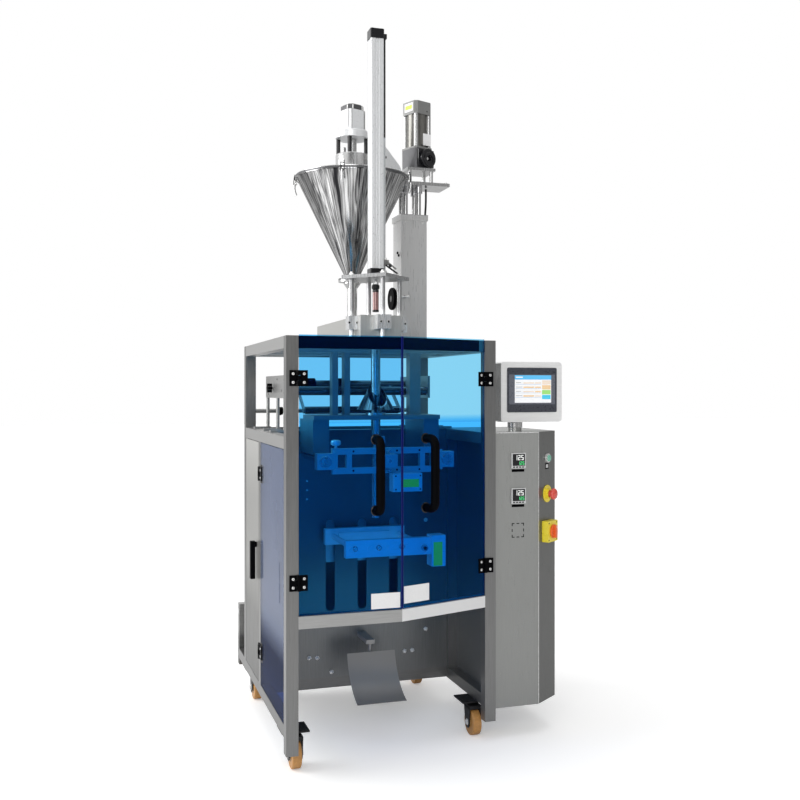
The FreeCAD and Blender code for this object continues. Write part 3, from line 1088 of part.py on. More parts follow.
roller("feed_roller", "feed_roller_y", "feed_roller_z", "roller_radius")
roller("guide_roller", "guide_roller_y", "guide_roller_z", "roller_radius * 0.8")
ARM_END = ("dancer_pivot_y - dancer_reach", "dancer_pivot_z - dancer_drop")
ARM_HALF = "9"
arm_points = [("-4", ARM_HALF), ("-5", f"-{ARM_HALF}"), ("-dancer_reach - 5", f"-dancer_drop - {ARM_HALF}"),
              ("-dancer_reach - 6", f"-dancer_drop + {ARM_HALF}")]
dancer_pieces = [
    rod(
        "dancer_spindle", "x", ("film_plate_x", "dancer_pivot_y", "dancer_pivot_z"), "film_rod_radius",
        SPINDLE_LENGTH)]
arm_xs = (f"{ROLLER_X} + dancer_inset", f"{ROLLER_X} + {ROLLER_LENGTH} - dancer_inset - dancer_sheet")
for number, x in enumerate(arm_xs):
    arm_blank = fuse(
        f"dancer_arm_blank_{number}",
        prism(
            f"dancer_web_{number}", "YZ_Plane", arm_points, "dancer_sheet",
            (x, "dancer_pivot_y", "dancer_pivot_z")),
        rod(f"dancer_boss_{number}", "x", (x, "dancer_pivot_y", "dancer_pivot_z"), "11", "dancer_sheet"),
        rod(f"dancer_end_{number}", "x", (x, *ARM_END), "11", "dancer_sheet"))
    dancer_pieces.append(arm_blank)
dancer_blank = fuse("dancer_blank", *dancer_pieces)
end_holes = rod("dancer_end_hole", "x", (ROLLER_X, *ARM_END), "film_rod_radius + fit_gap", ROLLER_LENGTH)
subpart("dancer_arm", [cut("dancer", dancer_blank, end_holes)])
subpart(
    "dancer_roller",
    [
        fuse(
            "dancer_roller_piece",
            rod(
                "dancer_barrel", "x", (f"{arm_xs[0]} + dancer_sheet + 2", *ARM_END), "roller_radius * 0.7",
                f"{arm_xs[1]} - ({arm_xs[0]}) - dancer_sheet - 4"),
            rod(
                "dancer_roller_spindle", "x", (arm_xs[0], *ARM_END), "film_rod_radius",
                f"{arm_xs[1]} - ({arm_xs[0]}) + dancer_sheet"))])
# Film reel shaft at the back
subpart(
    "reel_shaft",
    [
        fuse(
            "reel", rod("reel_bar", "x", ("0", REEL_Y, "reel_z"), "reel_shaft_radius", "frame_width"),
            cone(
                "reel_cone_left", "x", ("tube + 80", REEL_Y, "reel_z"), "reel_cone", "reel_cone / 2", "45"),
            cone(
                "reel_cone_right", "x", (f"{RIGHT_X} - 80 - 45", REEL_Y, "reel_z"), "reel_cone / 2",
                "reel_cone", "45"))])


# Discharge chute, a bent sheet
def chute_shape():
    points = [
        FreeCAD.Vector(0, measure(f"chute_{name}_y"), measure(f"chute_{name}_z"))
        for name in ("top", "bend", "low")]
    under = Part.Arc(*points)
    centre = under.toShape().Curve.Center
    radius = under.toShape().Curve.Radius
    wall = measure("chute_sheet")
    over = Part.Arc(*[centre + (point - centre) * ((radius + wall) / radius) for point in points])
    ends = [
        Part.LineSegment(under.EndPoint, over.EndPoint), Part.LineSegment(over.StartPoint, under.StartPoint)
    ]
    wire = Part.Wire(Part.__sortEdges__([edge.toShape() for edge in (under, ends[0], over, ends[1])]))
    return Part.Face(wire).extrude(FreeCAD.Vector(measure("chute_width"), 0, 0))


chute = doc.addObject("Part::Feature", "chute_sheet_piece")
chute.Shape = chute_shape()
place(chute, ("feed_x - chute_width / 2", "0", "0"))
subpart("discharge_chute", [chute, cut("hanger_piece", fuse(
    "hanger_blank", box("hanger_arm", ("feed_x - 15", "chute_top_y + 8", "chute_top_z + 25"),
                        ("30", "wall_y - chute_top_y - 8", "14")),
    rod("hanger_rod", "z", ("feed_x", "chute_top_y + 16", "chute_top_z - 22"), "6", "60"),
    box("hanger_foot", ("feed_x - 20", "chute_top_y - 2", "chute_top_z - 22"), ("40", "26", "14"))), chute)])

doc.recompute()
for item in doc.Objects:
    if "Invalid" in item.State or "Error" in item.State:
        raise RuntimeError(f"{item.Name} failed: {item.State}")
os.makedirs("parts", exist_ok=True)
for item in SUBPARTS:
    if item.Shape.isNull() or not item.Shape.isValid():
        raise RuntimeError(f"{item.Label} has no valid shape")
    item.Shape.exportStep(f"parts/{item.Label}.step")
print(len(SUBPARTS), "sub-parts")
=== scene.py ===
"""Looks of the vertical form fill seal machine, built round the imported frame."""
import math
import bmesh
import bpy
from mathutils import Matrix, Vector


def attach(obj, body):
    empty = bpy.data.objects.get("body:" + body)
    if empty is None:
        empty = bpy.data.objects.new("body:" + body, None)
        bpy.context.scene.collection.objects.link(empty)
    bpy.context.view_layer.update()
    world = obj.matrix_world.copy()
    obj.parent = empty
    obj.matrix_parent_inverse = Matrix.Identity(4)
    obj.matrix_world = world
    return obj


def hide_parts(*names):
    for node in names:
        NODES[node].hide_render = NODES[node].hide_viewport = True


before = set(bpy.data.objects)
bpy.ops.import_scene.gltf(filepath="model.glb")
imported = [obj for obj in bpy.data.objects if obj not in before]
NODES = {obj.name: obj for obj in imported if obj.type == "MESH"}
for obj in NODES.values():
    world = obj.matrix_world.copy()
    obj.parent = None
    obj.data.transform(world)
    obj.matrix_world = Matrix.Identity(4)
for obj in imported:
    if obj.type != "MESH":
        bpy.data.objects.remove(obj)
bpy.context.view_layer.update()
MM = 0.001
# Row frame origin in planning coordinates: X from the frame's left face, Y from its front face
MIDDLE = (495.0, 474.0)
# Middles of the filler, the gear motor and the plunger cylinder, seen from above
FX, FY = 346, 530
GX, GY = 618, 600
CX, CY = 365, 290


def at(x, y, z):
    """A planning place in millimetres as a row frame point in metres."""
    return Vector(((x - MIDDLE[0]) * MM, (y - MIDDLE[1]) * MM, z * MM))


# Materials
BRUSH_Z = (14, 14, 0.4)
BRUSH_X = (0.4, 14, 14)
EVEN = (1, 1, 1)


def new_material(name):
    material = bpy.data.materials.new(name)
    material.use_nodes = True
    tree = material.node_tree
    return material, tree, tree.nodes["Principled BSDF"]


def link(tree, a, b):
    tree.links.new(a, b)


def calc(tree, operation, *values):
    """A maths node on outputs or plain numbers."""
    node = tree.nodes.new("ShaderNodeMath")
    node.operation = operation
    for socket, value in zip(node.inputs, values):
        if isinstance(value, (int, float)):
            socket.default_value = value
        else:
            link(tree, value, socket)
    return node.outputs[0]


def position(tree):
    """Where a point lies in its object, in metres, as the outputs X, Y and Z."""
    coord = tree.nodes.new("ShaderNodeTexCoord")
    parts = tree.nodes.new("ShaderNodeSeparateXYZ")
    link(tree, coord.outputs["Object"], parts.inputs["Vector"])
    return parts.outputs


def mix_colour(tree, first, second, factor, blend="MIX"):
    """Blends two colours, each of them an output or plain numbers."""
    mixer = tree.nodes.new("ShaderNodeMix")
    mixer.data_type = "RGBA"
    mixer.blend_type = blend
    for socket, value in zip((mixer.inputs[0], mixer.inputs[6], mixer.inputs[7]), (factor, first, second)):
        if isinstance(value, bpy.types.NodeSocket):
            link(tree, value, socket)
        else:
            socket.default_value = value
    return mixer.outputs[2]


def noise(tree, scale, stretch=EVEN, detail=4.0, rough=0.55):
    coord = tree.nodes.new("ShaderNodeTexCoord")
    mapping = tree.nodes.new("ShaderNodeMapping")
    mapping.inputs["Scale"].default_value = stretch
    texture = tree.nodes.new("ShaderNodeTexNoise")
    texture.inputs["Scale"].default_value = scale
    texture.inputs["Detail"].default_value = detail
    texture.inputs["Roughness"].default_value = rough
    link(tree, coord.outputs["Object"], mapping.inputs["Vector"])
    link(tree, mapping.outputs["Vector"], texture.inputs["Vector"])
    return texture.outputs["Fac"]


def ramp(tree, source, stops):
    node = tree.nodes.new("ShaderNodeValToRGB")
    elements = node.color_ramp.elements
    while len(elements) < len(stops):
        elements.new(0.5)
    for element, (spot, colour) in zip(elements, stops):
        element.position = spot
        element.color = (*colour, 1) if len(colour) == 3 else colour
    link(tree, source, node.inputs["Fac"])
    return node.outputs["Color"]


def spread(tree, source, low, high, start=0.3, end=0.7):
    node = tree.nodes.new("ShaderNodeMapRange")
    node.inputs["From Min"].default_value = start
    node.inputs["From Max"].default_value = end
    node.inputs["To Min"].default_value = low
    node.inputs["To Max"].default_value = high
    link(tree, source, node.inputs["Value"])
    return node.outputs["Result"]


def bump(tree, shader, source, strength, distance=0.001):
    node = tree.nodes.new("ShaderNodeBump")
    node.inputs["Strength"].default_value = strength
    node.inputs["Distance"].default_value = distance
    link(tree, source, node.inputs["Height"])
    link(tree, node.outputs["Normal"], shader.inputs["Normal"])


def shade(colour, factor):
    return tuple(min(1.0, c * factor) for c in colour)


def surface(name, colour, rough, metallic, grain, stretch, vary, relief, coat=0.0):
    """A procedural finish: base colour with fine variation, uneven roughness and slight relief."""
    material, tree, shader = new_material(name)
    source = noise(tree, grain, stretch)
    link(tree, ramp(tree, source, [(0.25, shade(colour, 1 - vary)), (0.75, shade(colour, 1 + vary))]),
         shader.inputs["Base Color"])
    link(tree, spread(tree, source, max(0.03, rough - 0.06), rough + 0.08), shader.inputs["Roughness"])
    shader.inputs["Metallic"].default_value = metallic
    shader.inputs["Coat Weight"].default_value = coat
    if relief:
        bump(tree, shader, source, relief)
    return material


# Heights in metres between which the front doors' tint changes, as the light behind them does
SKY_LINE = (1.076, 1.096)
MACHINE_TOP = 2.4


def acrylic(name, tint, body, haze=0.0, upper=None):
    """Clear coloured sheet: tinted see-through with a glossy skin and a little body colour."""
    material, tree, shader = new_material(name)
    source = noise(tree, 3)
    link(tree, ramp(tree, source, [(0.3, shade(body, 0.9)), (0.7, shade(body, 1.1))]),
         shader.inputs["Base Color"])
    shader.inputs["Roughness"].default_value = 0.04
    clear = tree.nodes.new("ShaderNodeBsdfTransparent")
    clear.inputs["Color"].default_value = (*tint, 1)
    if upper:
        height = spread(tree, position(tree)["Z"], 0.0, 1.0, *SKY_LINE)
        link(tree, ramp(tree, height, [(0.0, tint), (1.0, upper)]), clear.inputs["Color"])
    mixer = tree.nodes.new("ShaderNodeMixShader")
    fresnel = tree.nodes.new("ShaderNodeFresnel")
    fresnel.inputs["IOR"].default_value = 1.35
    link(tree, spread(tree, fresnel.outputs["Fac"], 0.03 + haze, 0.5 + haze, 0.0, 1.0), mixer.inputs["Fac"])
    link(tree, clear.outputs["BSDF"], mixer.inputs[1])
    link(tree, shader.outputs["BSDF"], mixer.inputs[2])
    link(tree, mixer.outputs["Shader"], tree.nodes["Material Output"].inputs["Surface"])
    return material


def place_mask(tree, low, high):
    """1 inside a box given by two row frame points in metres, and 0 outside it."""
    parts = position(tree)
    inside = 1.0
    for axis, start, end in zip("XYZ", low, high):
        for way, bound in (("GREATER_THAN", start), ("LESS_THAN", end)):
            inside = calc(tree, "MULTIPLY", inside, calc(tree, way, parts[axis], bound))
    return inside


def patched(material, colour, low, high):
    """Gives a finish another colour inside a box, such as steel that the closed bay keeps dark."""
    tree = material.node_tree
    into = tree.nodes["Principled BSDF"].inputs["Base Color"]
    base = into.links[0].from_socket
    link(tree, mix_colour(tree, base, (*colour, 1), place_mask(tree, low, high)), into)


def by_height(material, node, socket, stops):
    """Multiplies an input by levels or colours that are set at heights above the floor, in metres."""
    tree = material.node_tree
    into = tree.nodes[node].inputs[socket]
    before = into.links[0].from_socket if into.links else into.default_value[:]
    share = spread(tree, position(tree)["Z"], 0.0, 1.0, 0.0, MACHINE_TOP)
    share = ramp(tree, share, [(z / MACHINE_TOP, colour) for z, colour in stops])
    if into.type == "VALUE":
        link(tree, calc(tree, "MULTIPLY", before, share), into)
    else:
        link(tree, mix_colour(tree, before, share, 1.0, "MULTIPLY"), into)


def grey(*pairs):
    return [(z, (level, level, level)) for z, level in pairs]


def with_leaves(material, boxes):
    """Turns see-through sheet into black metal inside the boxes that hold its hinge leaves."""
    tree = material.node_tree
    output = tree.nodes["Material Output"]
    dark = tree.nodes.new("ShaderNodeBsdfPrincipled")
    source = noise(tree, 200)
    link(tree, ramp(tree, source, [(0.3, (0.005, 0.005, 0.006)), (0.7, (0.010, 0.010, 0.012))]),
         dark.inputs["Base Color"])
    dark.inputs["Roughness"].default_value = 0.42
    dark.inputs["Specular IOR Level"].default_value = 0.25
    for low, high in boxes:
        before = output.inputs["Surface"].links[0].from_socket
        mixer = tree.nodes.new("ShaderNodeMixShader")
        link(tree, place_mask(tree, low, high), mixer.inputs["Fac"])
        link(tree, before, mixer.inputs[1])
        link(tree, dark.outputs["BSDF"], mixer.inputs[2])
        link(tree, mixer.outputs["Shader"], output.inputs["Surface"])
    return material


def painted_reflection_cone(name, centre, bands):
    """Bright rolled sheet with painted reflections: dark and bright streaks run down the cone in its colour,
    standing in for the room's reflections.
    """
    material, tree, shader = new_material(name)
    coord = tree.nodes.new("ShaderNodeTexCoord")
    mapping = tree.nodes.new("ShaderNodeMapping")
    mapping.inputs["Location"].default_value = (-centre[0], -centre[1], 0)
    link(tree, coord.outputs["Object"], mapping.inputs["Vector"])
    parts = tree.nodes.new("ShaderNodeSeparateXYZ")
    link(tree, mapping.outputs["Vector"], parts.inputs["Vector"])
    joined = tree.nodes.new("ShaderNodeCombineXYZ")
    link(tree, calc(tree, "ARCTAN2", parts.outputs["Y"], parts.outputs["X"]), joined.inputs["X"])
    link(tree, calc(tree, "MULTIPLY", parts.outputs["Z"], 0.35), joined.inputs["Y"])
    texture = tree.nodes.new("ShaderNodeTexNoise")
    texture.inputs["Scale"].default_value = bands
    texture.inputs["Detail"].default_value = 3.5
    texture.inputs["Roughness"].default_value = 0.6
    link(tree, joined.outputs["Vector"], texture.inputs["Vector"])
    # Painted reflections: bands of near black and bright grey in the base colour
    colour = ramp(tree, texture.outputs["Fac"], [
        (0.30, (0.01, 0.01, 0.012)), (0.41, (0.04, 0.04, 0.042)), (0.46, (0.40, 0.40, 0.40)),
        (0.50, (0.06, 0.06, 0.062)), (0.55, (0.62, 0.62, 0.62)), (0.60, (0.15, 0.15, 0.15)),
        (0.69, (0.85, 0.85, 0.85))])
    link(tree, colour, shader.inputs["Base Color"])
    shader.inputs["Metallic"].default_value = 0.9
    shader.inputs["Roughness"].default_value = 0.14
    return material


def two_part_hose(name, upper, lower, height):
    """Black above a height in metres and clear milky below it."""
    material = surface(name, lower, 0.28, 0.0, 200, EVEN, 0.05, 0.02, 0.3)
    tree = material.node_tree
    shader = tree.nodes["Principled BSDF"]
    spot = spread(tree, position(tree)["Z"], 0.0, 1.0, height, height + 0.001)
    link(tree, ramp(tree, spot, [(0.0, lower), (1.0, upper)]), shader.inputs["Base Color"])
    return material


def glow(name, colour, strength):
    material, tree, shader = new_material(name)
    lit = ramp(tree, noise(tree, 300), [(0.3, shade(colour, 0.93)), (0.7, colour)])
    link(tree, lit, shader.inputs["Base Color"])
    link(tree, lit, shader.inputs["Emission Color"])
    shader.inputs["Emission Strength"].default_value = strength
    shader.inputs["Roughness"].default_value = 0.25
    return material


# Name, colour, roughness, metal, grain, stretch of the grain, variation, relief and coat
FINISHES = {
    "steel_z": ("steel_brushed_upright", (0.23, 0.23, 0.228), 0.34, 0.8, 40, BRUSH_Z, 0.12, 0.05),
    "steel_x": ("steel_brushed_across", (0.42, 0.42, 0.415), 0.34, 0.8, 40, BRUSH_X, 0.12, 0.05),
    "column_steel": ("steel_column", (0.68, 0.68, 0.675), 0.32, 0.6, 40, BRUSH_Z, 0.045, 0.02),
    "panel": ("steel_panel", (0.36, 0.365, 0.355), 0.32, 0.75, 30, BRUSH_Z, 0.05, 0.02),
    "chute_steel": ("steel_chute", (0.32, 0.315, 0.31), 0.38, 0.5, 60, BRUSH_Z, 0.03, 0.01),
    "stand_steel": ("steel_stand", (0.64, 0.645, 0.65), 0.28, 0.7, 60, BRUSH_Z, 0.06, 0.03),
    "gear_cap": ("gear_cap", (0.24, 0.24, 0.235), 0.40, 0.35, 60, BRUSH_Z, 0.08, 0.03),
    "pale_panel": ("steel_panel_pale", (0.54, 0.54, 0.52), 0.34, 0.6, 30, BRUSH_Z, 0.06, 0.03),
    "wall": ("steel_wall", (0.20, 0.205, 0.205), 0.36, 0.7, 30, BRUSH_Z, 0.12, 0.04),
    "bright": ("steel_bright", (0.62, 0.62, 0.62), 0.22, 0.9, 50, BRUSH_Z, 0.10, 0.03),
    "shaft": ("steel_ground", (0.60, 0.60, 0.61), 0.18, 0.95, 80, BRUSH_X, 0.10, 0.02),
    "alloy": ("alloy_anodised", (0.66, 0.67, 0.68), 0.34, 0.55, 220, EVEN, 0.05, 0.03),
    "alloy_white": ("alloy_white", (0.80, 0.81, 0.82), 0.32, 0.35, 220, EVEN, 0.04, 0.02),
    "alloy_grey": ("alloy_grey", (0.17, 0.17, 0.175), 0.38, 0.6, 160, BRUSH_Z, 0.10, 0.04),
    "black": ("plastic_black", (0.0012, 0.0012, 0.002), 0.50, 0.0, 260, EVEN, 0.25, 0.06),
    "black_gloss": ("plastic_black_gloss", (0.010, 0.010, 0.012), 0.18, 0.0, 160, EVEN, 0.2, 0.02, 0.4),
    "black_metal": ("metal_black", (0.022, 0.022, 0.024), 0.40, 0.3, 200, EVEN, 0.25, 0.05),
    "grey_plastic": ("plastic_grey", (0.62, 0.63, 0.63), 0.42, 0.0, 260, EVEN, 0.05, 0.06),
    "white_plastic": ("plastic_white", (0.82, 0.82, 0.81), 0.35, 0.0, 260, EVEN, 0.03, 0.03),
    "screw": ("screw_bright", (0.80, 0.80, 0.79), 0.28, 0.5, 400, EVEN, 0.08, 0.03),
    "tyre": ("polyurethane_tan", (0.50, 0.25, 0.075), 0.38, 0.0, 120, EVEN, 0.16, 0.05),
    "hub": ("polyurethane_gold", (0.62, 0.36, 0.12), 0.30, 0.1, 120, EVEN, 0.14, 0.03, 0.3),
    "red": ("plastic_red", (0.74, 0.085, 0.06), 0.28, 0.0, 200, EVEN, 0.10, 0.03, 0.4),
    "orange": ("plastic_orange", (0.86, 0.14, 0.025), 0.28, 0.0, 200, EVEN, 0.10, 0.03, 0.4),
    "yellow": ("plastic_yellow", (0.90, 0.74, 0.045), 0.32, 0.0, 200, EVEN, 0.06, 0.03, 0.2),
    "green": ("plastic_green", (0.20, 0.52, 0.38), 0.25, 0.0, 200, EVEN, 0.10, 0.02, 0.4),
    "plate_white": ("plate_white", (0.84, 0.84, 0.84), 0.45, 0.0, 200, EVEN, 0.03, 0.02),
    "ruby": ("plunger_ruby", (0.36, 0.20, 0.19), 0.14, 0.3, 120, EVEN, 0.2, 0.02, 0.6),
    "lemon": ("plate_lemon", (0.62, 0.72, 0.10), 0.45, 0.0, 200, EVEN, 0.05, 0.02),
    "gear_body": ("gear_body", (0.20, 0.195, 0.18), 0.28, 0.8, 60, BRUSH_Z, 0.10, 0.03),
    "hmi_steel": ("steel_panel_light", (0.93, 0.93, 0.925), 0.36, 0.30, 60, BRUSH_X, 0.05, 0.03),
    "bezel": ("bezel_dark", (0.045, 0.05, 0.065), 0.30, 0.0, 200, EVEN, 0.15, 0.02, 0.3),
    "bezel_light": ("bezel_grey", (0.13, 0.14, 0.17), 0.30, 0.0, 200, EVEN, 0.08, 0.02),
    "alloy_dark": ("alloy_dark", (0.10, 0.10, 0.105), 0.36, 0.5, 160, BRUSH_Z, 0.15, 0.04),
    "alloy_mid": ("alloy_mid", (0.30, 0.30, 0.295), 0.30, 0.7, 60, BRUSH_Z, 0.14, 0.04),
    # The rollers' steel is darkened: a painted reflection of the dark bay round them
    "roller_dark": ("roller_dark", (0.16, 0.16, 0.165), 0.20, 0.9, 80, BRUSH_X, 0.10, 0.02),
    "table_alloy": ("table_alloy", (0.30, 0.305, 0.31), 0.34, 0.55, 220, EVEN, 0.05, 0.03),
    "edge_blue": ("acrylic_edge", (0.004, 0.01, 0.16), 0.2, 0.0, 60, EVEN, 0.1, 0.0),
    "jaw_metal": ("jaw_bright", (0.95, 0.95, 0.95), 0.30, 0.15, 60, BRUSH_X, 0.05, 0.02),
    "film_steel": ("film_plate_grey", (0.36, 0.36, 0.355), 0.32, 0.6, 60, BRUSH_X, 0.08, 0.04),
}
# Name, colour and strength of the light. The screen and the digits are lit; the green plate's glow is painted
# light, for it is no lamp
GLOWS = {
    "plate_green_painted_glow": ("plate_green_painted_glow", (0.42, 0.85, 0.08), 0.25),
    "lit_white": ("digit_white", (0.90, 0.92, 0.90), 0.35),
    "lit_green": ("digit_green", (0.10, 0.72, 0.25), 0.4),
    "page": ("page_white", (0.92, 0.93, 0.95), 0.25),
    "page_blue": ("page_head", (0.12, 0.52, 0.88), 0.25),
    "page_rule": ("page_rule", (0.50, 0.62, 0.80), 0.1),
    "page_text": ("page_mark", (0.55, 0.56, 0.55), 0.05),
    "page_peach": ("page_peach", (0.93, 0.80, 0.68), 0.15),
    "page_orange": ("page_orange", (0.93, 0.66, 0.38), 0.15),
    "page_green": ("page_green", (0.38, 0.80, 0.22), 0.15),
    "page_cyan": ("page_cyan", (0.08, 0.64, 0.90), 0.15),
}
M = {key: surface(*values) for key, values in FINISHES.items()}
M.update({key: glow(*values) for key, values in GLOWS.items()})
M.update({
    "air_line": two_part_hose("hose_air", (0.006, 0.006, 0.008), (0.50, 0.52, 0.53), 2.035),
    # Painted light: both front doors' tints turn paler above SKY_LINE, where the bright room shows through
    # them; the left door's copy is painted a little less pale there
    "door_blue": acrylic("acrylic_blue", (0.24, 0.69, 0.995), (0.0, 0.02, 0.22), 0.0, (0.52, 0.85, 0.99)),
    "door_blue_left": acrylic("acrylic_blue_left", (0.24, 0.70, 0.995), (0.0, 0.02, 0.22), 0.0,
                              (0.38, 0.76, 0.985)),
    "shoulder_steel_painted_reflections": painted_reflection_cone("shoulder_steel_painted_reflections", at(CX, CY, 0), 3.0),
    "side_blue": with_leaves(acrylic("acrylic_lavender", (0.50, 0.57, 0.73), (0.26, 0.30, 0.40), 0.22),
                             ((at(-11, 420, 240), at(1, 466, 305)), (at(-11, 420, 855), at(1, 466, 918)))), })
# Painted light on steel, one box each: painted shade on the header, a painted highlight on the right half of
# the sill and painted shade on the chamfer
for key, colour, low, high in (("steel_x", (0.012, 0.012, 0.012), (38, -6, 1290), (691, 108, 1341)),
                               ("steel_x", (0.86, 0.86, 0.86), (367, -6, 430), (691, 150, 497)),
                               ("panel", (0.17, 0.172, 0.168), (896.8, 127, 106), (1100, 197.5, 1032))):
    patched(M[key], colour, at(*low), at(*high))

# Painted shade: the rear door panel and the feed trough are darker towards the floor
by_height(M["pale_panel"], "Principled BSDF", "Base Color",
          grey((0.15, 0.15), (0.39, 0.25), (0.54, 0.56), (0.80, 0.70), (1.0, 1.0)))
# Painted light: the cabinet shell is lighter towards its top and darker low down
by_height(M["panel"], "Principled BSDF", "Base Color",
          grey((0.10, 0.85), (0.45, 0.92), (0.60, 1.0), (1.0, 1.25)))
# The stand is lighter below 1.435 m and darker above 1.45 m
by_height(M["stand_steel"], "Principled BSDF", "Base Color", grey((1.435, 1.2), (1.45, 0.62)))
# Painted shade: the frame rails are darker within 0.2 m of the floor
by_height(M["steel_x"], "Principled BSDF", "Base Color", grey((0.20, 0.48), (0.22, 1.0)))
# Painted shade on the side door: it is darker and bluer below 0.46 m, and shows less of its glossy skin there
SIDE_DOOR_PAINTED_SHADE = [(0.16, (0.30, 0.44, 0.74)), (0.27, (0.20, 0.33, 0.60)), (0.33, (0.24, 0.36, 0.60)),
        (0.42, (0.85, 0.90, 0.95)), (0.46, (1, 1, 1))]
by_height(M["side_blue"], "Principled BSDF", "Base Color", SIDE_DOOR_PAINTED_SHADE)
by_height(M["side_blue"], "Transparent BSDF", "Color", SIDE_DOOR_PAINTED_SHADE)
by_height(M["side_blue"], "Mix Shader", "Fac", grey((0.16, 0.35), (0.33, 0.30), (0.42, 0.9), (0.50, 1.0)))
for key, level in (("black", 0.04), ("black_gloss", 0.25), ("black_metal", 0.25)):
    M[key].node_tree.nodes["Principled BSDF"].inputs["Specular IOR Level"].default_value = level
for node in NODES.values():
    node.data.materials.clear()


def dress(material, *names):
    for name in names:
        NODES[name].data.materials.clear()
        NODES[name].data.materials.append(M[material])


dress("steel_z", "frame_posts")
dress("column_steel", "lifting_column")
dress("steel_x", "frame_rails")
dress("wall", "mechanism_wall", "body_panels")
dress("panel", "cabinet_shell")
dress("chute_steel", "discharge_chute")
dress("stand_steel", "cylinder_stand")
dress("pale_panel", "rear_door_panel", "feed_trough")
dress("air_line", "air_hose")
dress("black_gloss", "motor_cable")
dress("black", "post_hinge_leaves", "left_door_hardware", "right_door_hardware", "rear_door_handle",
      "handwheel")
dress("door_blue", "right_door_panel")
dress("door_blue_left", "left_door_panel")
dress("side_blue", "side_door")
dress("black_metal", "panel_controls")
dress("green", "start_button")
dress("red", "estop_button")
dress("orange", "switch_knob")
dress("grey_plastic", "operator_panel", "sealer_junction_box")
dress("table_alloy", "forming_table")
dress("alloy", "jaw_carriage", "drive_stand", "sealer_ladder")
dress("bright", "forming_tube", "auger_tube", "hopper_lid", "auger_screw", "lift_frame",
      "vertical_sealer")
dress("black_metal", "caster_plates")
dress("jaw_metal", "front_jaw", "rear_jaw")
dress("film_steel", "film_unit_frame", "dancer_arm")
dress("alloy_white", "plunger_cylinder", "filler_motor")
dress("alloy_grey", "agitator_motor")
dress("ruby", "plunger")
dress("shaft", "guide_shafts", "reel_shaft")
# Rollers darkened with a painted reflection
dress("roller_dark", "feed_roller", "guide_roller", "dancer_roller")
dress("shoulder_steel_painted_reflections", "forming_shoulder")
for corner in ("front_left", "front_right", "rear_left", "rear_right"):
    dress("black_metal", "caster_fork_" + corner)
    dress("tyre", "caster_wheel_" + corner)
NODES["hopper"].data.materials.append(painted_reflection_cone("cone_painted_reflections", at(FX, FY, 0), 5.5))

# Mesh pieces
AXES = {"x": Vector((1, 0, 0)), "y": Vector((0, 1, 0)), "z": Vector((0, 0, 1))}


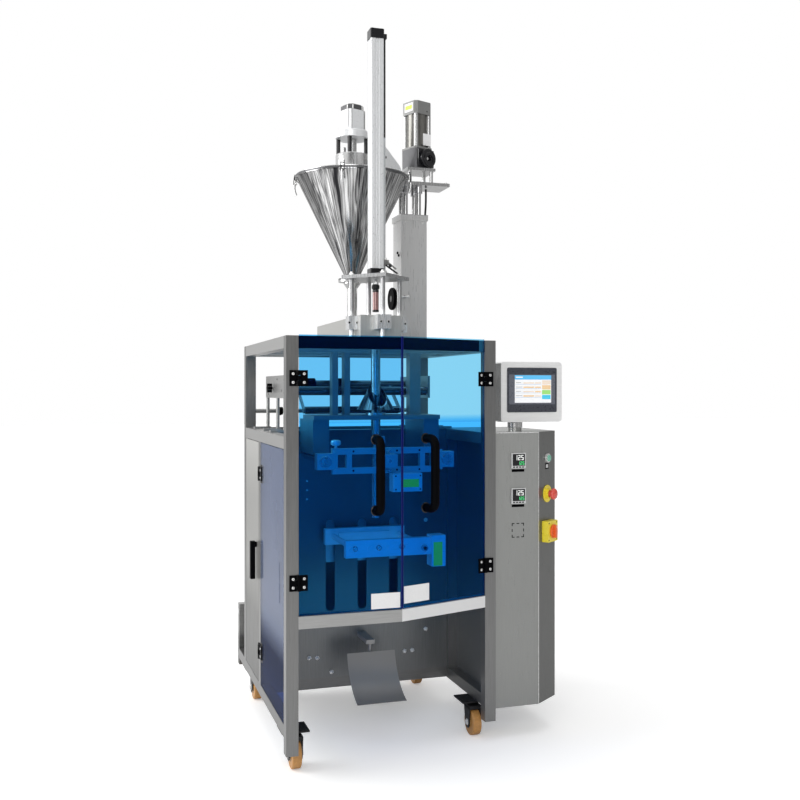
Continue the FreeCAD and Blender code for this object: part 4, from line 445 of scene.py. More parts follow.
class Piece:
    """Collects shapes in planning millimetres and turns them into one object that rides on a body."""

    def __init__(self, name, body, replaces=(), slot=None, spot=(0, 0, 0), turn=0.0):
        self.name, self.body, self.hidden, self.slot = name, body, replaces, slot
        self.mesh = bmesh.new()
        self.keys = []
        self.local = Matrix.Translation(Vector(spot)) @ Matrix.Rotation(math.radians(turn), 4, "Z")

    def put(self, key, verts, faces):
        if key not in self.keys:
            self.keys.append(key)
        made = [self.mesh.verts.new(self.local @ Vector(v)) for v in verts]
        for face in faces:
            new = self.mesh.faces.new([made[i] for i in face])
            new.material_index = self.keys.index(key)

    def box(self, key, low, high, tilt=0.0, axis="z"):
        corners = [Vector((x, y, z)) for x in (low[0], high[0]) for y in (low[1], high[1])
                   for z in (low[2], high[2])]
        if tilt:
            centre = (Vector(low) + Vector(high)) / 2
            turn = Matrix.Rotation(math.radians(tilt), 4, axis.upper())
            corners = [centre + turn @ (c - centre) for c in corners]
        self.put(key, corners, [(0, 1, 3, 2), (4, 6, 7, 5), (0, 4, 5, 1), (2, 3, 7, 6), (0, 2, 6, 4),
                                (1, 5, 7, 3)])

    def plan(self, key, points, low, high, axis="z"):
        """A prism: points are in the plane across the axis, in the order of the other two axes."""
        def full(p, h):
            return {"z": (p[0], p[1], h), "x": (h, p[0], p[1]), "y": (p[0], h, p[1])}[axis]
        n = len(points)
        verts = [full(p, low) for p in points] + [full(p, high) for p in points]
        following = list(points[1:]) + [points[0]]
        area = sum(a[0] * b[1] - b[0] * a[1] for a, b in zip(points, following))
        flip = (area < 0) != (axis == "y")
        faces = [tuple(reversed(range(n))), tuple(range(n, 2 * n))]
        faces += [(i, (i + 1) % n, n + (i + 1) % n, n + i) for i in range(n)]
        if flip:
            faces = [tuple(reversed(f)) for f in faces]
        self.put(key, verts, faces)

    def lathe(self, key, spot, profile, axis="z", sides=40, closed=True):
        """Turns (radius, height) points round an axis through spot. The profile runs up the outside."""
        main = AXES[axis] if isinstance(axis, str) else Vector(axis).normalized()
        side = main.orthogonal().normalized()
        other = main.cross(side)
        spot = Vector(spot)
        verts = []
        for r, h in profile:
            for i in range(sides):
                a = 2 * math.pi * i / sides
                verts.append(spot + main * h + (side * math.cos(a) + other * math.sin(a)) * r)
        faces = []
        for row in range(len(profile) - 1):
            for i in range(sides):
                a, b = row * sides + i, row * sides + (i + 1) % sides
                faces.append((a, b, b + sides, a + sides))
        if closed:
            last = (len(profile) - 1) * sides
            if profile[0][0] > 0.01:
                faces.append(tuple(reversed(range(sides))))
            if profile[-1][0] > 0.01:
                faces.append(tuple(range(last, last + sides)))
        self.put(key, verts, faces)

    def rod(self, key, start, end, radius, sides=24, edge=0.6):
        start, end = Vector(start), Vector(end)
        length = (end - start).length
        edge = min(edge, radius * 0.3, length * 0.3)
        self.lathe(key, start, [(radius - edge, 0), (radius, edge), (radius, length - edge),
                                (radius - edge, length)], (end - start), sides)

    def hexagon(self, key, start, end, radius):
        self.rod(key, start, end, radius, 6, 0.5)

    def ring(self, key, spot, inner, outer, low, high, axis="z", sides=40):
        edge = min(0.8, (outer - inner) * 0.2, (high - low) * 0.2)
        profile = [(inner, low), (outer - edge, low), (outer, low + edge), (outer, high - edge),
                   (outer - edge, high), (inner, high), (inner, low)]
        self.lathe(key, spot, profile, axis, sides, closed=False)

    def ball(self, key, spot, radius, sides=20):
        profile = [(max(0.02, radius * math.sin(math.pi * i / 10)),
                    -radius * math.cos(math.pi * i / 10)) for i in range(11)]
        self.lathe(key, spot, profile, "z", sides)

    def hose(self, key, points, radius, sides=10, steps=8):
        """A round hose along a smooth line through the points."""
        pts = [Vector(p) for p in points]
        line = []
        for i in range(len(pts) - 1):
            p0, p1, p2, p3 = pts[max(i - 1, 0)], pts[i], pts[i + 1], pts[min(i + 2, len(pts) - 1)]
            for k in range(steps):
                t = k / steps
                line.append(0.5 * (2 * p1 + (p2 - p0) * t + (2 * p0 - 5 * p1 + 4 * p2 - p3) * t * t
                                   + (3 * p1 - p0 - 3 * p2 + p3) * t ** 3))
        line.append(pts[-1])
        verts, side = [], None
        for i, p in enumerate(line):
            ahead = (line[min(i + 1, len(line) - 1)] - line[max(i - 1, 0)]).normalized()
            side = ahead.orthogonal() if side is None else side - ahead * side.dot(ahead)
            side = side.normalized()
            other = ahead.cross(side)
            for k in range(sides):
                a = 2 * math.pi * k / sides
                verts.append(p + (side * math.cos(a) + other * math.sin(a)) * radius)
        faces = [tuple(reversed(range(sides)))]
        for row in range(len(line) - 1):
            for k in range(sides):
                a, b = row * sides + k, row * sides + (k + 1) % sides
                faces.append((a, b, b + sides, a + sides))
        last = (len(line) - 1) * sides
        faces.append(tuple(range(last, last + sides)))
        self.put(key, verts, faces)

    def done(self, bevel=0.7):
        data = bpy.data.meshes.new(self.name)
        self.mesh.to_mesh(data)
        self.mesh.free()
        data.transform(Matrix.Scale(MM, 4) @ Matrix.Translation((-MIDDLE[0], -MIDDLE[1], 0)))
        for key in self.keys:
            data.materials.append(M[key])
        for face in data.polygons:
            face.use_smooth = True
        data.set_sharp_from_angle(angle=math.radians(40))
        piece = bpy.data.objects.new(self.name, data)
        bpy.context.scene.collection.objects.link(piece)
        if bevel:
            edge = piece.modifiers.new("edge", "BEVEL")
            edge.width = bevel * MM
            edge.segments = 2
            edge.limit_method = "ANGLE"
            edge.angle_limit = math.radians(45)
            edge.harden_normals = True
        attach(piece, self.body)
        if self.hidden:
            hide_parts(*self.hidden)
        return piece


# Hinge screws, two on each leaf, in the frame of each pin
SLANT = math.degrees(math.atan2(107, 691 - 366))
LEFT_PIN, RIGHT_PIN, SIDE_PIN = (38, -5, 0), (691, 102, 0), (-5, 459, 0)


def hinge_screws(name, body, pin, turn, lows, side):
    screws = Piece(name, body, slot="chrome_shaft", spot=pin, turn=turn)
    for low in lows:
        for z in (low + 11, low + 37):
            x = side * 17
            screws.lathe("screw", (x, 1, z), [(0.1, -1.2), (3.0, -1.2), (4.3, -0.4), (4.3, 0.2)], "y", 20)
            screws.box("black", (x - 2.6, -0.6, z - 0.5), (x + 2.6, -0.15, z + 0.5), 35, "y")
    return screws.done(0.2)


FRONT_LOWS, SIDE_LOWS = (568, 1187), (248, 862)
CABINET_TOP = 1033
RIGHT_HANDLE = -249.2
hinge_screws("screws_left_post", "frame", LEFT_PIN, 0, FRONT_LOWS, -1)
hinge_screws("screws_left_door", "left_door", LEFT_PIN, 0, FRONT_LOWS, 1)
hinge_screws("screws_right_post", "frame", RIGHT_PIN, 0, FRONT_LOWS, 1)
hinge_screws("screws_right_door", "right_door", RIGHT_PIN, SLANT, FRONT_LOWS, -1)
hinge_screws("screws_side_post", "frame", SIDE_PIN, -90, SIDE_LOWS, -1)
hinge_screws("screws_side_door", "side_door", SIDE_PIN, -90, SIDE_LOWS, 1)

# Handle rosettes and cap screws where each bent handle meets its door
for label, body, pin, turn, x in (("left", "left_door", LEFT_PIN, 0, 243),
                                  ("right", "right_door", RIGHT_PIN, SLANT, RIGHT_HANDLE)):
    fit = Piece(f"handle_fittings_{label}", body, slot="black_plastic", spot=pin, turn=turn)
    for z in (802, 1022):
        fit.lathe("black_gloss", (x, 4.9, z), [(15.5, -4), (17, -3), (17, 0)], "y", 28)
        fit.lathe("screw", (x, 10, z), [(6.5, 0), (6.5, 1.5), (5, 3.2), (0.1, 3.6)], "y", 24)
    fit.done(0.3)

# Blank plates on the doors, low beside the meeting edges
plates = Piece("plate_left_door", "left_door", slot="panel_grey")
plates.box("plate_white", (266, -0.7, 497), (360, -0.05, 545))
plates.done(0.2)
plates = Piece("plate_right_door", "right_door", slot="panel_grey", spot=RIGHT_PIN, turn=SLANT)
plates.box("plate_white", (-333, 4.3, 507), (-234, 4.95, 561))
plates.done(0.2)

# Casters: tread, hub, axle nuts, fork and plate bolts
CASTERS = {"front_left": (45, 116), "front_right": (684, 223), "rear_left": (45, 834),
           "rear_right": (684, 834)}
for corner, (x, y) in CASTERS.items():
    wheel = Piece(f"wheel_{corner}", "wheel_" + corner, (f"caster_wheel_{corner}",), "amber_polyurethane")
    centre = (x, y - 25, 45)
    wheel.lathe("tyre", centre, [(37, -15), (41.5, -15), (44, -13.6), (45, -10), (45, 10), (44, 13.6),
                                 (41.5, 15), (37, 15)], "x", 64)
    for way in (1, -1):
        dish = [(37.2, 14.6 * way), (36, 15 * way), (33, 14 * way), (31, 10 * way), (21, 9 * way),
                (19, 13 * way), (16.5, 16 * way), (6, 16 * way)]
        wheel.lathe("hub", centre, dish if way < 0 else list(reversed(dish)), "x", 48, closed=False)
        for step in range(5):
            a = math.radians(72 * step)
            wy, wz = centre[1] + 26 * math.cos(a), centre[2] + 26 * math.sin(a)
            wheel.rod("hub", (x + 9 * way, wy, wz), (x + 11.5 * way, wy, wz), 3.2, 12)
        wheel.ring("screw", (x, centre[1], 45), 5.4, 12, min(15.5 * way, 16 * way), max(15.5 * way, 16 * way),
                   "x", 32)
    wheel.done(0.3)
    nuts = Piece(f"axle_nuts_{corner}", "swivel_" + corner, slot="chrome_shaft")
    for way in (1, -1):
        nuts.ring("screw", centre, 5.2, 11, min(21 * way, 22.4 * way), max(21 * way, 22.4 * way), "x", 28)
        nuts.hexagon("screw", (x + 22.4 * way, *centre[1:]), (x + 26.5 * way, *centre[1:]), 8.5)
    nuts.done(0.3)
    cy = centre[1]
    yoke = Piece(f"fork_yoke_{corner}", "swivel_" + corner, (f"caster_fork_{corner}",), "black_metal")
    yoke.rod("black_metal", (x, y, 103.6), (x, y, 108.4), 24, 32)
    yoke.rod("black_metal", (x - 21.8, cy, 45), (x + 21.8, cy, 45), 5, 16)
    yoke.box("black_metal", (x - 21.8, cy - 26, 92.5), (x + 21.8, cy + 30, 104))
    for side in (x - 21.8, x + 19.6):
        yoke.plan("black_metal", [(cy - 26, 100), (cy - 17, 34), (cy - 8, 26), (cy + 8, 26), (cy + 17, 34),
                                  (cy + 30, 100)], side, side + 2.2, "x")
    yoke.done(0.5)
    bolts = Piece(f"plate_bolts_{corner}", "frame", slot="chrome_shaft")
    for dx in (-33, 33):
        for dy in (-33, 33):
            if 38 > x + dx > 0 or 691 < x + dx < 729:
                bolts.hexagon("screw", (x + dx, y + dy, 108.6), (x + dx, y + dy, 113), 6)
    bolts.done(0.3)

# Cabinet front: controllers, button collars, switch and the dashed outline of a spare cut-out
CHAMFER = math.degrees(math.atan2(72, 97))
HALF_CHAMFER = math.hypot(97, 72) / 2
CHAMFER_SPOT = (896, 126, 0)
DIGITS = {"1": "bc", "2": "abged", "5": "afgcd"}


def digit(piece, key, text, x, z, wide, tall, y):
    """Bars of a seven-bar numeral, drawn on a face that looks along -Y."""
    bar = wide * 0.28
    spots = {"a": (x, z + tall - bar, wide, bar), "g": (x, z + tall / 2 - bar / 2, wide, bar),
             "d": (x, z, wide, bar),
             "f": (x, z + tall / 2, bar, tall / 2), "b": (x + wide - bar, z + tall / 2, bar, tall / 2),
             "e": (x, z, bar, tall / 2), "c": (x + wide - bar, z, bar, tall / 2)}
    for name in DIGITS[text]:
        left, low, w, h = spots[name]
        piece.box(key, (left, y - 0.35, low), (left + w, y, low + h))


panel = Piece("controllers", "frame", ("panel_controls",), "black_plastic")
for low in (910, 791):
    panel.box("grey_plastic", (793, 119, low), (845, 126, low + 52))
    panel.box("black_gloss", (796.5, 118.3, low + 9), (841.5, 119.1, low + 49))
    for n, text in enumerate("125"):
        digit(panel, "lit_white", text, 804.5 + 11.6 * n, low + 28, 8.4, 17, 118.3)
        digit(panel, "lit_green", text, 816 + 8.2 * n, low + 12, 6.4, 11.5, 118.3)
    for n in range(4):
        panel.box("black", (798 + 11 * n, 118.5, low + 2.5), (805 + 11 * n, 119.1, low + 6.5))
    panel.box("black", (796, 125.2, low - 12), (842, 126, low - 3))
for n in range(3):
    along = 796 + 17.5 * n
    for low in (676, 722):
        panel.box("black", (along, 125.6, low), (along + 10, 126, low + 2.8))
    upward = 676 + 19.4 * n
    for x in (796, 838.2):
        panel.box("black", (x, 125.6, upward), (x + 2.8, 126, upward + 10))
# Painted highlight: a bright strip along the cabinet's top front edge
panel.box("screw", (731, 125.5, 1029.2), (895, 126.05, 1032.4))
panel.done(0.3)

chamfer = Piece("chamfer_controls", "frame", slot="black_plastic", spot=CHAMFER_SPOT, turn=CHAMFER)
mid = HALF_CHAMFER
chamfer.ring("screw", (mid, 0, 940), 11.4, 15.5, -8, 0, "y")
chamfer.box("black", (mid - 12, -0.6, 902), (mid + 12, 0, 922))
chamfer.box("grey_plastic", (mid - 8, -0.9, 906), (mid + 8, -0.5, 918))
chamfer.ring("yellow", (mid, 0, 817), 12.5, 30, -3.5, 0, "y", 48)
chamfer.ring("yellow", (mid, 0, 817), 12.5, 17, -12, -3.5, "y", 40)
chamfer.plan("yellow", [(mid - 36, 655), (mid - 34, 653), (mid + 34, 653), (mid + 36, 655), (mid + 36, 723),
                        (mid + 34, 725), (mid - 34, 725), (mid - 36, 723)], -23.5, 0, "y")
chamfer.ring("yellow", (mid, 0, 689), 24.6, 31, -24, -23, "y", 48)
for dx in (-29, 29):
    for dz in (-29, 29):
        chamfer.rod("black", (mid + dx, -24, 689 + dz), (mid + dx, -23, 689 + dz), 2.6, 16)
# Painted highlights: bright strips down both edges of the chamfer
for across in (-2.0, 2 * mid - 2.6):
    chamfer.box("screw", (across, -0.4, 106), (across + 3.8, 0.2, 1032))
chamfer.done(0.6)

knob = Piece("switch_handle", "switch_knob", ("switch_knob",), "red_knob", spot=CHAMFER_SPOT, turn=CHAMFER)
knob.lathe("orange", (mid, -24.3, 689), [(23, 0), (23.6, -1.5), (23.6, -5), (22, -6.5), (0.1, -6.5)][::-1],
           "y", 48)
knob.plan("orange", [(mid - 6, 667.5), (mid + 6, 667.5), (mid + 8, 689), (mid + 6, 710.5), (mid - 6, 710.5),
                     (mid - 8, 689)], -38, -30.5, "y")
knob.box("plate_white", (mid - 0.9, -38.3, 701), (mid + 0.9, -38, 709))
knob.done(1.2)

stop = Piece("stop_mushroom", "estop_button", ("estop_button",), "red_button", spot=CHAMFER_SPOT,
             turn=CHAMFER)
stop.lathe("red", (mid, 0, 817), [(0.1, -36), (9, -35.6), (16, -33.5), (19.4, -29.5), (20, -26), (19.2, -23),
                                  (13, -21.5), (11, -20), (11, -8), (0.1, -8)], "y", 48)
stop.done(0.2)
start = Piece("start_cap", "start_button", ("start_button",), "brass_green_button", spot=CHAMFER_SPOT,
              turn=CHAMFER)
start.lathe("green", (mid, 0, 940), [(0.1, -13), (7, -12.8), (10, -12), (10.8, -10.4), (10.8, -4.5),
                                     (0.1, -4.5)], "y", 40)
start.done(0.2)

# Operator panel: folded steel case, dark bezel and a lit page
HMI_LOW, HMI_POST = CABINET_TOP + 31, CABINET_TOP + 12.3
HMI_TALL, BEZEL_TALL, BEZEL_RAISED = 208, 147, 7
BEZEL = HMI_LOW + (HMI_TALL - BEZEL_TALL) / 2 + BEZEL_RAISED
hmi = Piece("operator_case", "operator_panel", ("operator_panel",), "panel_grey")


def rounded(x0, x1, z0, z1, r, steps=5):
    points = []
    for cx, cz, start_angle in ((x1 - r, z0 + r, -90), (x1 - r, z1 - r, 0), (x0 + r, z1 - r, 90),
                                (x0 + r, z0 + r, 180)):
        for k in range(steps + 1):
            a = math.radians(start_angle + 90 * k / steps)
            points.append((cx + r * math.cos(a), cz + r * math.sin(a)))
    return points


hmi.plan("hmi_steel", rounded(783, 1013, HMI_LOW, HMI_LOW + HMI_TALL, 12), 184, 244, "y")
hmi.plan("bezel", rounded(804, 992, BEZEL - 3.5, BEZEL + 150.5, 5), 181, 184, "y")
hmi.box("alloy_mid", (782.6, 187, HMI_LOW + 5), (783.1, 243, HMI_LOW + 203))
hmi.box("bezel_light", (811, 180.7, BEZEL + 8), (985, 181.1, BEZEL + 139))
hmi.box("bezel", (811, 180.5, BEZEL + 8), (985, 180.9, BEZEL + 24))
hmi.box("bezel", (811, 180.5, BEZEL + 127), (985, 180.9, BEZEL + 139))
LEFT, RIGHT, LOW, HIGH = 832, 970, BEZEL + 29.5, BEZEL + 124.5
hmi.box("page", (LEFT, 180.2, LOW), (RIGHT, 180.9, HIGH))
hmi.box("page_blue", (LEFT, 180.0, HIGH - 15), (RIGHT, 180.3, HIGH))
hmi.box("page", (LEFT + 4, 179.9, HIGH - 9), (LEFT + 30, 180.2, HIGH - 5))
for n in range(4):
    low = HIGH - 29 - 15 * n
    hmi.box("page_rule", (LEFT + 2, 180.05, low - 3), (LEFT + 101, 180.3, low - 1.6))
    hmi.box("page_text", (LEFT + 4, 180.05, low + 2), (LEFT + 24 + 5 * (n % 2), 180.3, low + 4.5))
    hmi.box("page_orange" if n in (1, 3) else "page_peach", (LEFT + 32, 180.0, low),
            (LEFT + 73, 180.3, low + 5))
    hmi.box("page_peach" if n in (0, 3) else "page_orange", (LEFT + 76, 180.0, low),
            (LEFT + 99, 180.3, low + 5))
for n, key in enumerate(("page_peach", "page_orange", "page_green", "page_cyan")):
    hmi.box(key, (LEFT + 103, 180.0, HIGH - 32 - 17 * n), (LEFT + 136, 180.3, HIGH - 17 - 17 * n))
hmi.lathe("bright", (848, 215, HMI_POST), [(26, 0), (26, HMI_LOW - HMI_POST - 2), (24, HMI_LOW - HMI_POST)],
          "z", 40)
hmi.done(0.6)

# Plunger cylinder: grooved profile, end caps with screws and an air port
barrel = Piece("cylinder_profile", "frame", ("plunger_cylinder",), "aluminium")
outline = []
for quarter in range(4):
    a = math.radians(90 * quarter)
    for px, py in ((23, -19), (23, -7), (20, -5.5), (20, -3.2), (22.2, -2.6), (22.2, 2.6), (20, 3.2),
                   (20, 5.5), (23, 7), (23, 19), (22, 22)):
        outline.append((CX + px * math.cos(a) - py * math.sin(a), CY + px * math.sin(a) + py * math.cos(a)))
barrel.plan("alloy_white", outline, 1587, 2366)
for low, high in ((2366, 2399), (1566, 1587)):
    barrel.plan("black_gloss", [(341 + a, 266 + b) for a, b in ((3, 0), (45, 0), (48, 3), (48, 45), (45, 48),
                                                                (3, 48), (0, 45), (0, 3))], low, high)
for dx in (-17, 17):
    for dy in (-17, 17):
        barrel.rod("screw", (CX + dx, CY + dy, 2399), (CX + dx, CY + dy, 2401), 4.5, 16)
barrel.rod("screw", (388.5, 282, 1577), (400, 282, 1577), 5, 20)
barrel.lathe("black_gloss", (CX, CY, 1562.2), [(16, 0), (18, 1), (18, 4)], "z", 32)
barrel.done(0.8)

stand = Piece("stand_details", "frame", slot="aluminium")
for sx, sy in ((-85, 0), (85, 0), (0, -85), (0, 85)):
    stand.hexagon("screw", (CX + sx, CY + sy, 1562), (CX + sx, CY + sy, 1570), 9)
    stand.rod("screw", (CX + sx, CY + sy, 1570), (CX + sx, CY + sy, 1575), 5, 16)
for sx, sy, wx, wy in ((-85, 0, -1, 0), (85, 0, 1, 0), (0, -85, 0, -1)):
    for side in (-13, 13):
        y = CY + sy - 24
        x = CX + sx + side
        stand.rod("black", (x, y - 0.4, 1401), (x, y + 2, 1401), 3.6, 16)
        stand.ring("screw", (x, y, 1401), 3.6, 5.6, -0.9, 0, "y", 20)
stand.box("alloy_mid", (388.6, 279, 1601), (409, 297, 1618))
stand.rod("screw", (399, 288, 1618), (399, 288, 1626), 5, 18)
stand.rod("alloy_mid", (409, 288, 1610), (436, 282, 1588), 3, 14)
stand.rod("black_gloss", (397, 278, 1600), (437, 270, 1571), 3, 14)
stand.rod("black_gloss", (412, 276, 1593), (412, 276, 1603), 5, 16)
stand.rod("black_gloss", (458, 318, 1540), (458, 318, 1561.8), 4, 16)
stand.box("alloy_white", (466, 304, 1374), (482, 322, 1403))
stand.rod("white_plastic", (474, 313, 1403), (474, 313, 1415), 7, 24)
stand.done(0.3)

# Plunger: clear red tube with dark ends on a clevis
tip = Piece("plunger_detail", "plunger", ("plunger",), "plunger_rod")
tip.rod("ruby", (CX, CY, 1447), (CX, CY, 1508), 10.6, 32)
tip.rod("black_gloss", (CX, CY, 1440), (CX, CY, 1447.5), 11, 32)
tip.rod("black_gloss", (CX, CY, 1507.5), (CX, CY, 1515), 11, 32)
tip.rod("shaft", (CX, CY, 1515), (CX, CY, 1568), 6, 24)
tip.lathe("black_metal", (CX, CY, 1516), [(9, 0), (13, 3), (14, 9), (13, 15), (9, 18)], "z", 32)
tip.hexagon("screw", (CX, CY, 1534), (CX, CY, 1543), 10)
tip.done(0.3)

# Column: collar edge and screws
column = Piece("column_details", "frame", slot="stainless_tube")
column.plan("bright", [(535.5, 545.5), (644.5, 545.5), (644.5, 654.5), (535.5, 654.5)], 1826, 1829)
for z in (1360, 1800):
    for x in (556, 624):
        column.rod("screw", (x, 549.6, z), (x, 547.6, z), 5, 16)
column.done(0.5)

wheel = Piece("handwheel_detail", "handwheel", ("handwheel",), "black_plastic")
wheel.lathe("black", (514, 600, 1517), [(34, 2), (36, 0), (40, 0), (42, 3), (42, 10), (39, 14), (35, 13),
                                        (34, 9)], "x", 48)
for n in range(3):
    a = math.radians(120 * n + 30)
    wheel.rod("black_gloss", (521, 600, 1517), (521, 600 + 36 * math.cos(a), 1517 + 36 * math.sin(a)), 5, 12)
wheel.rod("black_gloss", (514.5, 600, 1517), (528, 600, 1517), 12, 32)
wheel.rod("shaft", (520, 600, 1517), (539.7, 600, 1517), 6, 20)
wheel.done(0.3)

# Lift frame: sleeves and nuts on the guide rods, and bolts in the plate
lift = Piece("lift_details", "filler_head", slot="stainless_sheet")
for dx, dy in ((-26, -26), (26, -26), (-26, 26), (26, 26)):
    lift.ring("shaft", (590 + dx, 600 + dy, 1928), 9.2, 14, -16, 12, "z", 28)
    lift.hexagon("screw", (590 + dx, 600 + dy, 1952), (590 + dx, 600 + dy, 1959), 10)
for x, y in ((563, 556), (718, 556), (563, 648), (718, 648)):
    lift.hexagon("screw", (x, y, 1952), (x, y, 1957), 6)
lift.done(0.3)

# Gear motor: round body between corner rods, end caps, terminal box and blank plates

def octagon(half, cut):
    """A square with cut corners, round the piece's own middle."""
    return [(half, -half + cut), (half, half - cut), (half - cut, half), (-half + cut, half),
            (-half, half - cut), (-half, -half + cut), (-half + cut, -half), (half - cut, -half)]


gear = Piece("gear_motor", "filler_head", ("agitator_motor",), "motor_grey", spot=(GX, GY, 0), turn=22)
gear.plan("alloy_dark", octagon(42, 6), 2007, 2082)
gear.plan("gear_cap", octagon(42, 11), 2210, 2258)
gear.rod("gear_cap", (0, 0, 2258), (0, 0, 2260), 28, 36)
gear.rod("gear_body", (0, 0, 2086), (0, 0, 2210), 40, 64)
for x in (-31, 31):
    for y in (-31, 31):
        gear.rod("bright", (x, y, 2086), (x, y, 2210), 8.5, 28)
        gear.rod("screw", (x, y, 2258), (x, y, 2258.9), 3.4, 14)
gear.plan("gear_cap", octagon(43, 7), 2080, 2087)
gear.box("plate_white", (-4, -41.5, 2094), (34, -39, 2138))
gear.box("plate_white", (-42.5, -26, 2220), (-42, 22, 2252))
gear.box("lemon", (-42.8, -21, 2229), (-42.4, 17, 2243))
gear.rod("black", (14, -42.1, 2222), (14, -41, 2222), 2.8, 16)
for x in (-8, 6, 20):
    gear.rod("black_gloss", (x, -39, 2087), (x, -39, 2098), 2.6, 14)
gear.box("black_gloss", (-34, -50, 2012), (41, -41, 2076))
gear.ring("black_gloss", (6, -50, 2043), 12, 35, -12, 0, "y", 48)
gear.ring("black_gloss", (10, -60, 2038), 16, 27, -5, 0, "y", 40)
gear.rod("screw", (6, -50, 2043), (6, -53, 2043), 6, 20)
gear.lathe("black_gloss", (0, 0, 2005.3), [(18, 0), (20, 1), (20, 3)], "z", 30)
gear.done(0.9)

# Filler motor: square case with cut corners, a dark band and thin tie rods
HEAD_TURN = 20
motor = Piece("servo_motor", "filler_head", ("filler_motor",), "aluminium", spot=(FX, FY, 0), turn=HEAD_TURN)
motor.plan("alloy_white", octagon(40, 8), 2110, 2118)
motor.plan("alloy_white", octagon(37, 10), 2118, 2186)
motor.plan("alloy_dark", octagon(34, 11), 2186, 2203)
motor.plan("alloy_mid", octagon(29, 11), 2203, 2207)
for x, y in ((-37, -27), (-27, -37), (27, -37), (37, -27)):
    motor.rod("alloy_mid", (x, y, 2119), (x, y, 2186), 1.4, 10)
for x, y in ((-34, -20), (-20, -34), (20, -34), (34, -20)):
    motor.rod("screw", (x, y, 2187), (x, y, 2203), 2.2, 10)
motor.box("alloy_white", (37, -12, 2172), (39.9, 12, 2184))
motor.done(0.8)

# Hopper lid with its rim and four toggle latches
lid = Piece("lid_detail", "filler_head", ("hopper_lid",), "stainless_sheet")
lid.lathe("bright", (FX, FY, 1944.1), [(7, 0), (204.5, 0), (206, 0.8), (206, 3), (204, 4), (92, 5), (90, 7.9),
                                       (88, 8.9), (7, 8.9)], "z", 96)
lid.lathe("alloy_dark", (FX, FY, 0), [(200.5, 1938), (206.3, 1938), (206.3, 1944)], "z", 96, closed=False)
for degrees in (-114, -24, 66, 156):
    a = math.radians(degrees)
    ux, uy = math.cos(a), math.sin(a)

    def out(r, across, z):
        return (FX + ux * r - uy * across, FY + uy * r + ux * across, z)
    hook = [(205, 6, 1951), (210, 6, 1960), (213.5, 6, 1944), (214, 6, 1926), (214, -6, 1926),
            (213.5, -6, 1944), (210, -6, 1960), (205, -6, 1951)]
    lid.hose("black_metal", [out(*spot) for spot in hook], 1.7, 8, 5)
    lid.rod("screw", out(207, 8, 1955), out(207, -8, 1955), 3.4, 12)
    for across in (-6.5, 6.5):
        lid.rod("screw", out(210, across, 1926), out(210, across, 1940), 2.4, 10)
    lid.rod("screw", out(208, 9, 1928), out(208, -9, 1928), 3.2, 12)
    lid.hose("bright", [out(212, 0, 1930), out(214, 0, 1916), out(212, 0, 1900), out(207, 0, 1886)], 4.6, 12,
             6)
lid.done(0.3)

# Drive stand: drum, foot ring, four spacers and flange
drive = Piece("drive_detail", "filler_head", ("drive_stand",), "aluminium")
drive.lathe("bright", (FX, FY, 0), [(56, 1953), (60, 1953), (60, 2024), (58.5, 2027), (7, 2027)], "z", 64,
            closed=False)
drive.lathe("screw", (FX, FY, 0), [(60, 1953), (67, 1953), (67, 1957), (60, 1957)], "z", 64, closed=False)
for n in range(4):
    a = math.radians(HEAD_TURN - 135 + 90 * n)
    x, y = FX + 51 * math.cos(a), FY + 51 * math.sin(a)
    drive.rod("black_gloss", (x, y, 2027), (x, y, 2085), 7.5, 24)
drive.lathe("alloy_white", (FX, FY, 0), [(7, 2085), (58.5, 2085), (60, 2086.5), (60, 2108.5), (58.5, 2110),
                                         (7, 2110)], "z", 64)
drive.rod("bright", (FX - 40, FY - 30, 2027), (FX - 40, FY - 30, 2045), 9, 24)
drive.done(0.4)

# Nuts and screws inside the front bay
inner = Piece("wall_nuts", "frame", slot="chrome_shaft")
for x, z in ((175, 230), (204, 228), (529, 226), (558, 227), (256, 174), (610, 300), (120, 300), (610, 700),
             (120, 700)):
    inner.hexagon("screw", (x, 478, z), (x, 473, z), 8)
    inner.ball("screw", (x, 472.5, z), 5.6, 16)
for side in (182, 545):
    for z in (915, 974):
        inner.rod("screw", (side + 9, 160, z), (side + 9, 156.5, z), 4.5, 18)
for x in (252, 332, 400, 478, 528):
    for z in (913, 976):
        inner.rod("black", (x, 160, z), (x, 158.6, z), 3.2, 14)
for x in (156, 571):
    inner.ring("bright", (x, 152, 944.5), 12.4, 19, -6, 0, "y", 32)
for z in (790, 822, 854):
    inner.rod("screw", (168, 478, z), (168, 475.5, z), 4, 16)
inner.done(0.2)
ladder_knob = Piece("ladder_knob", "frame", slot="aluminium")
ladder_knob.rod("screw", (196, 170, 986), (196, 170, 994), 5, 18)
ladder_knob.lathe("alloy_white", (196, 170, 994), [(8, 0), (15, 3), (17, 10), (15, 17), (8, 20)], "z", 32)
ladder_knob.done(0.3)

# Junction box with a screwed lid and a blank green plate
junction = Piece("junction_upper", "frame", ("sealer_junction_box",), "panel_grey")
junction.box("hmi_steel", (377, 128, 843), (477, 170, 903))
junction.box("hmi_steel", (379, 124, 845), (475, 128, 901))
# The green plate glows with painted light
junction.box("plate_green_painted_glow", (404, 123.4, 858), (464, 124.1, 884))
for x in (385, 469):
    for z in (851, 895):
        junction.rod("black", (x, 124.1, z), (x, 123, z), 2.6, 14)
junction.done(0.9)

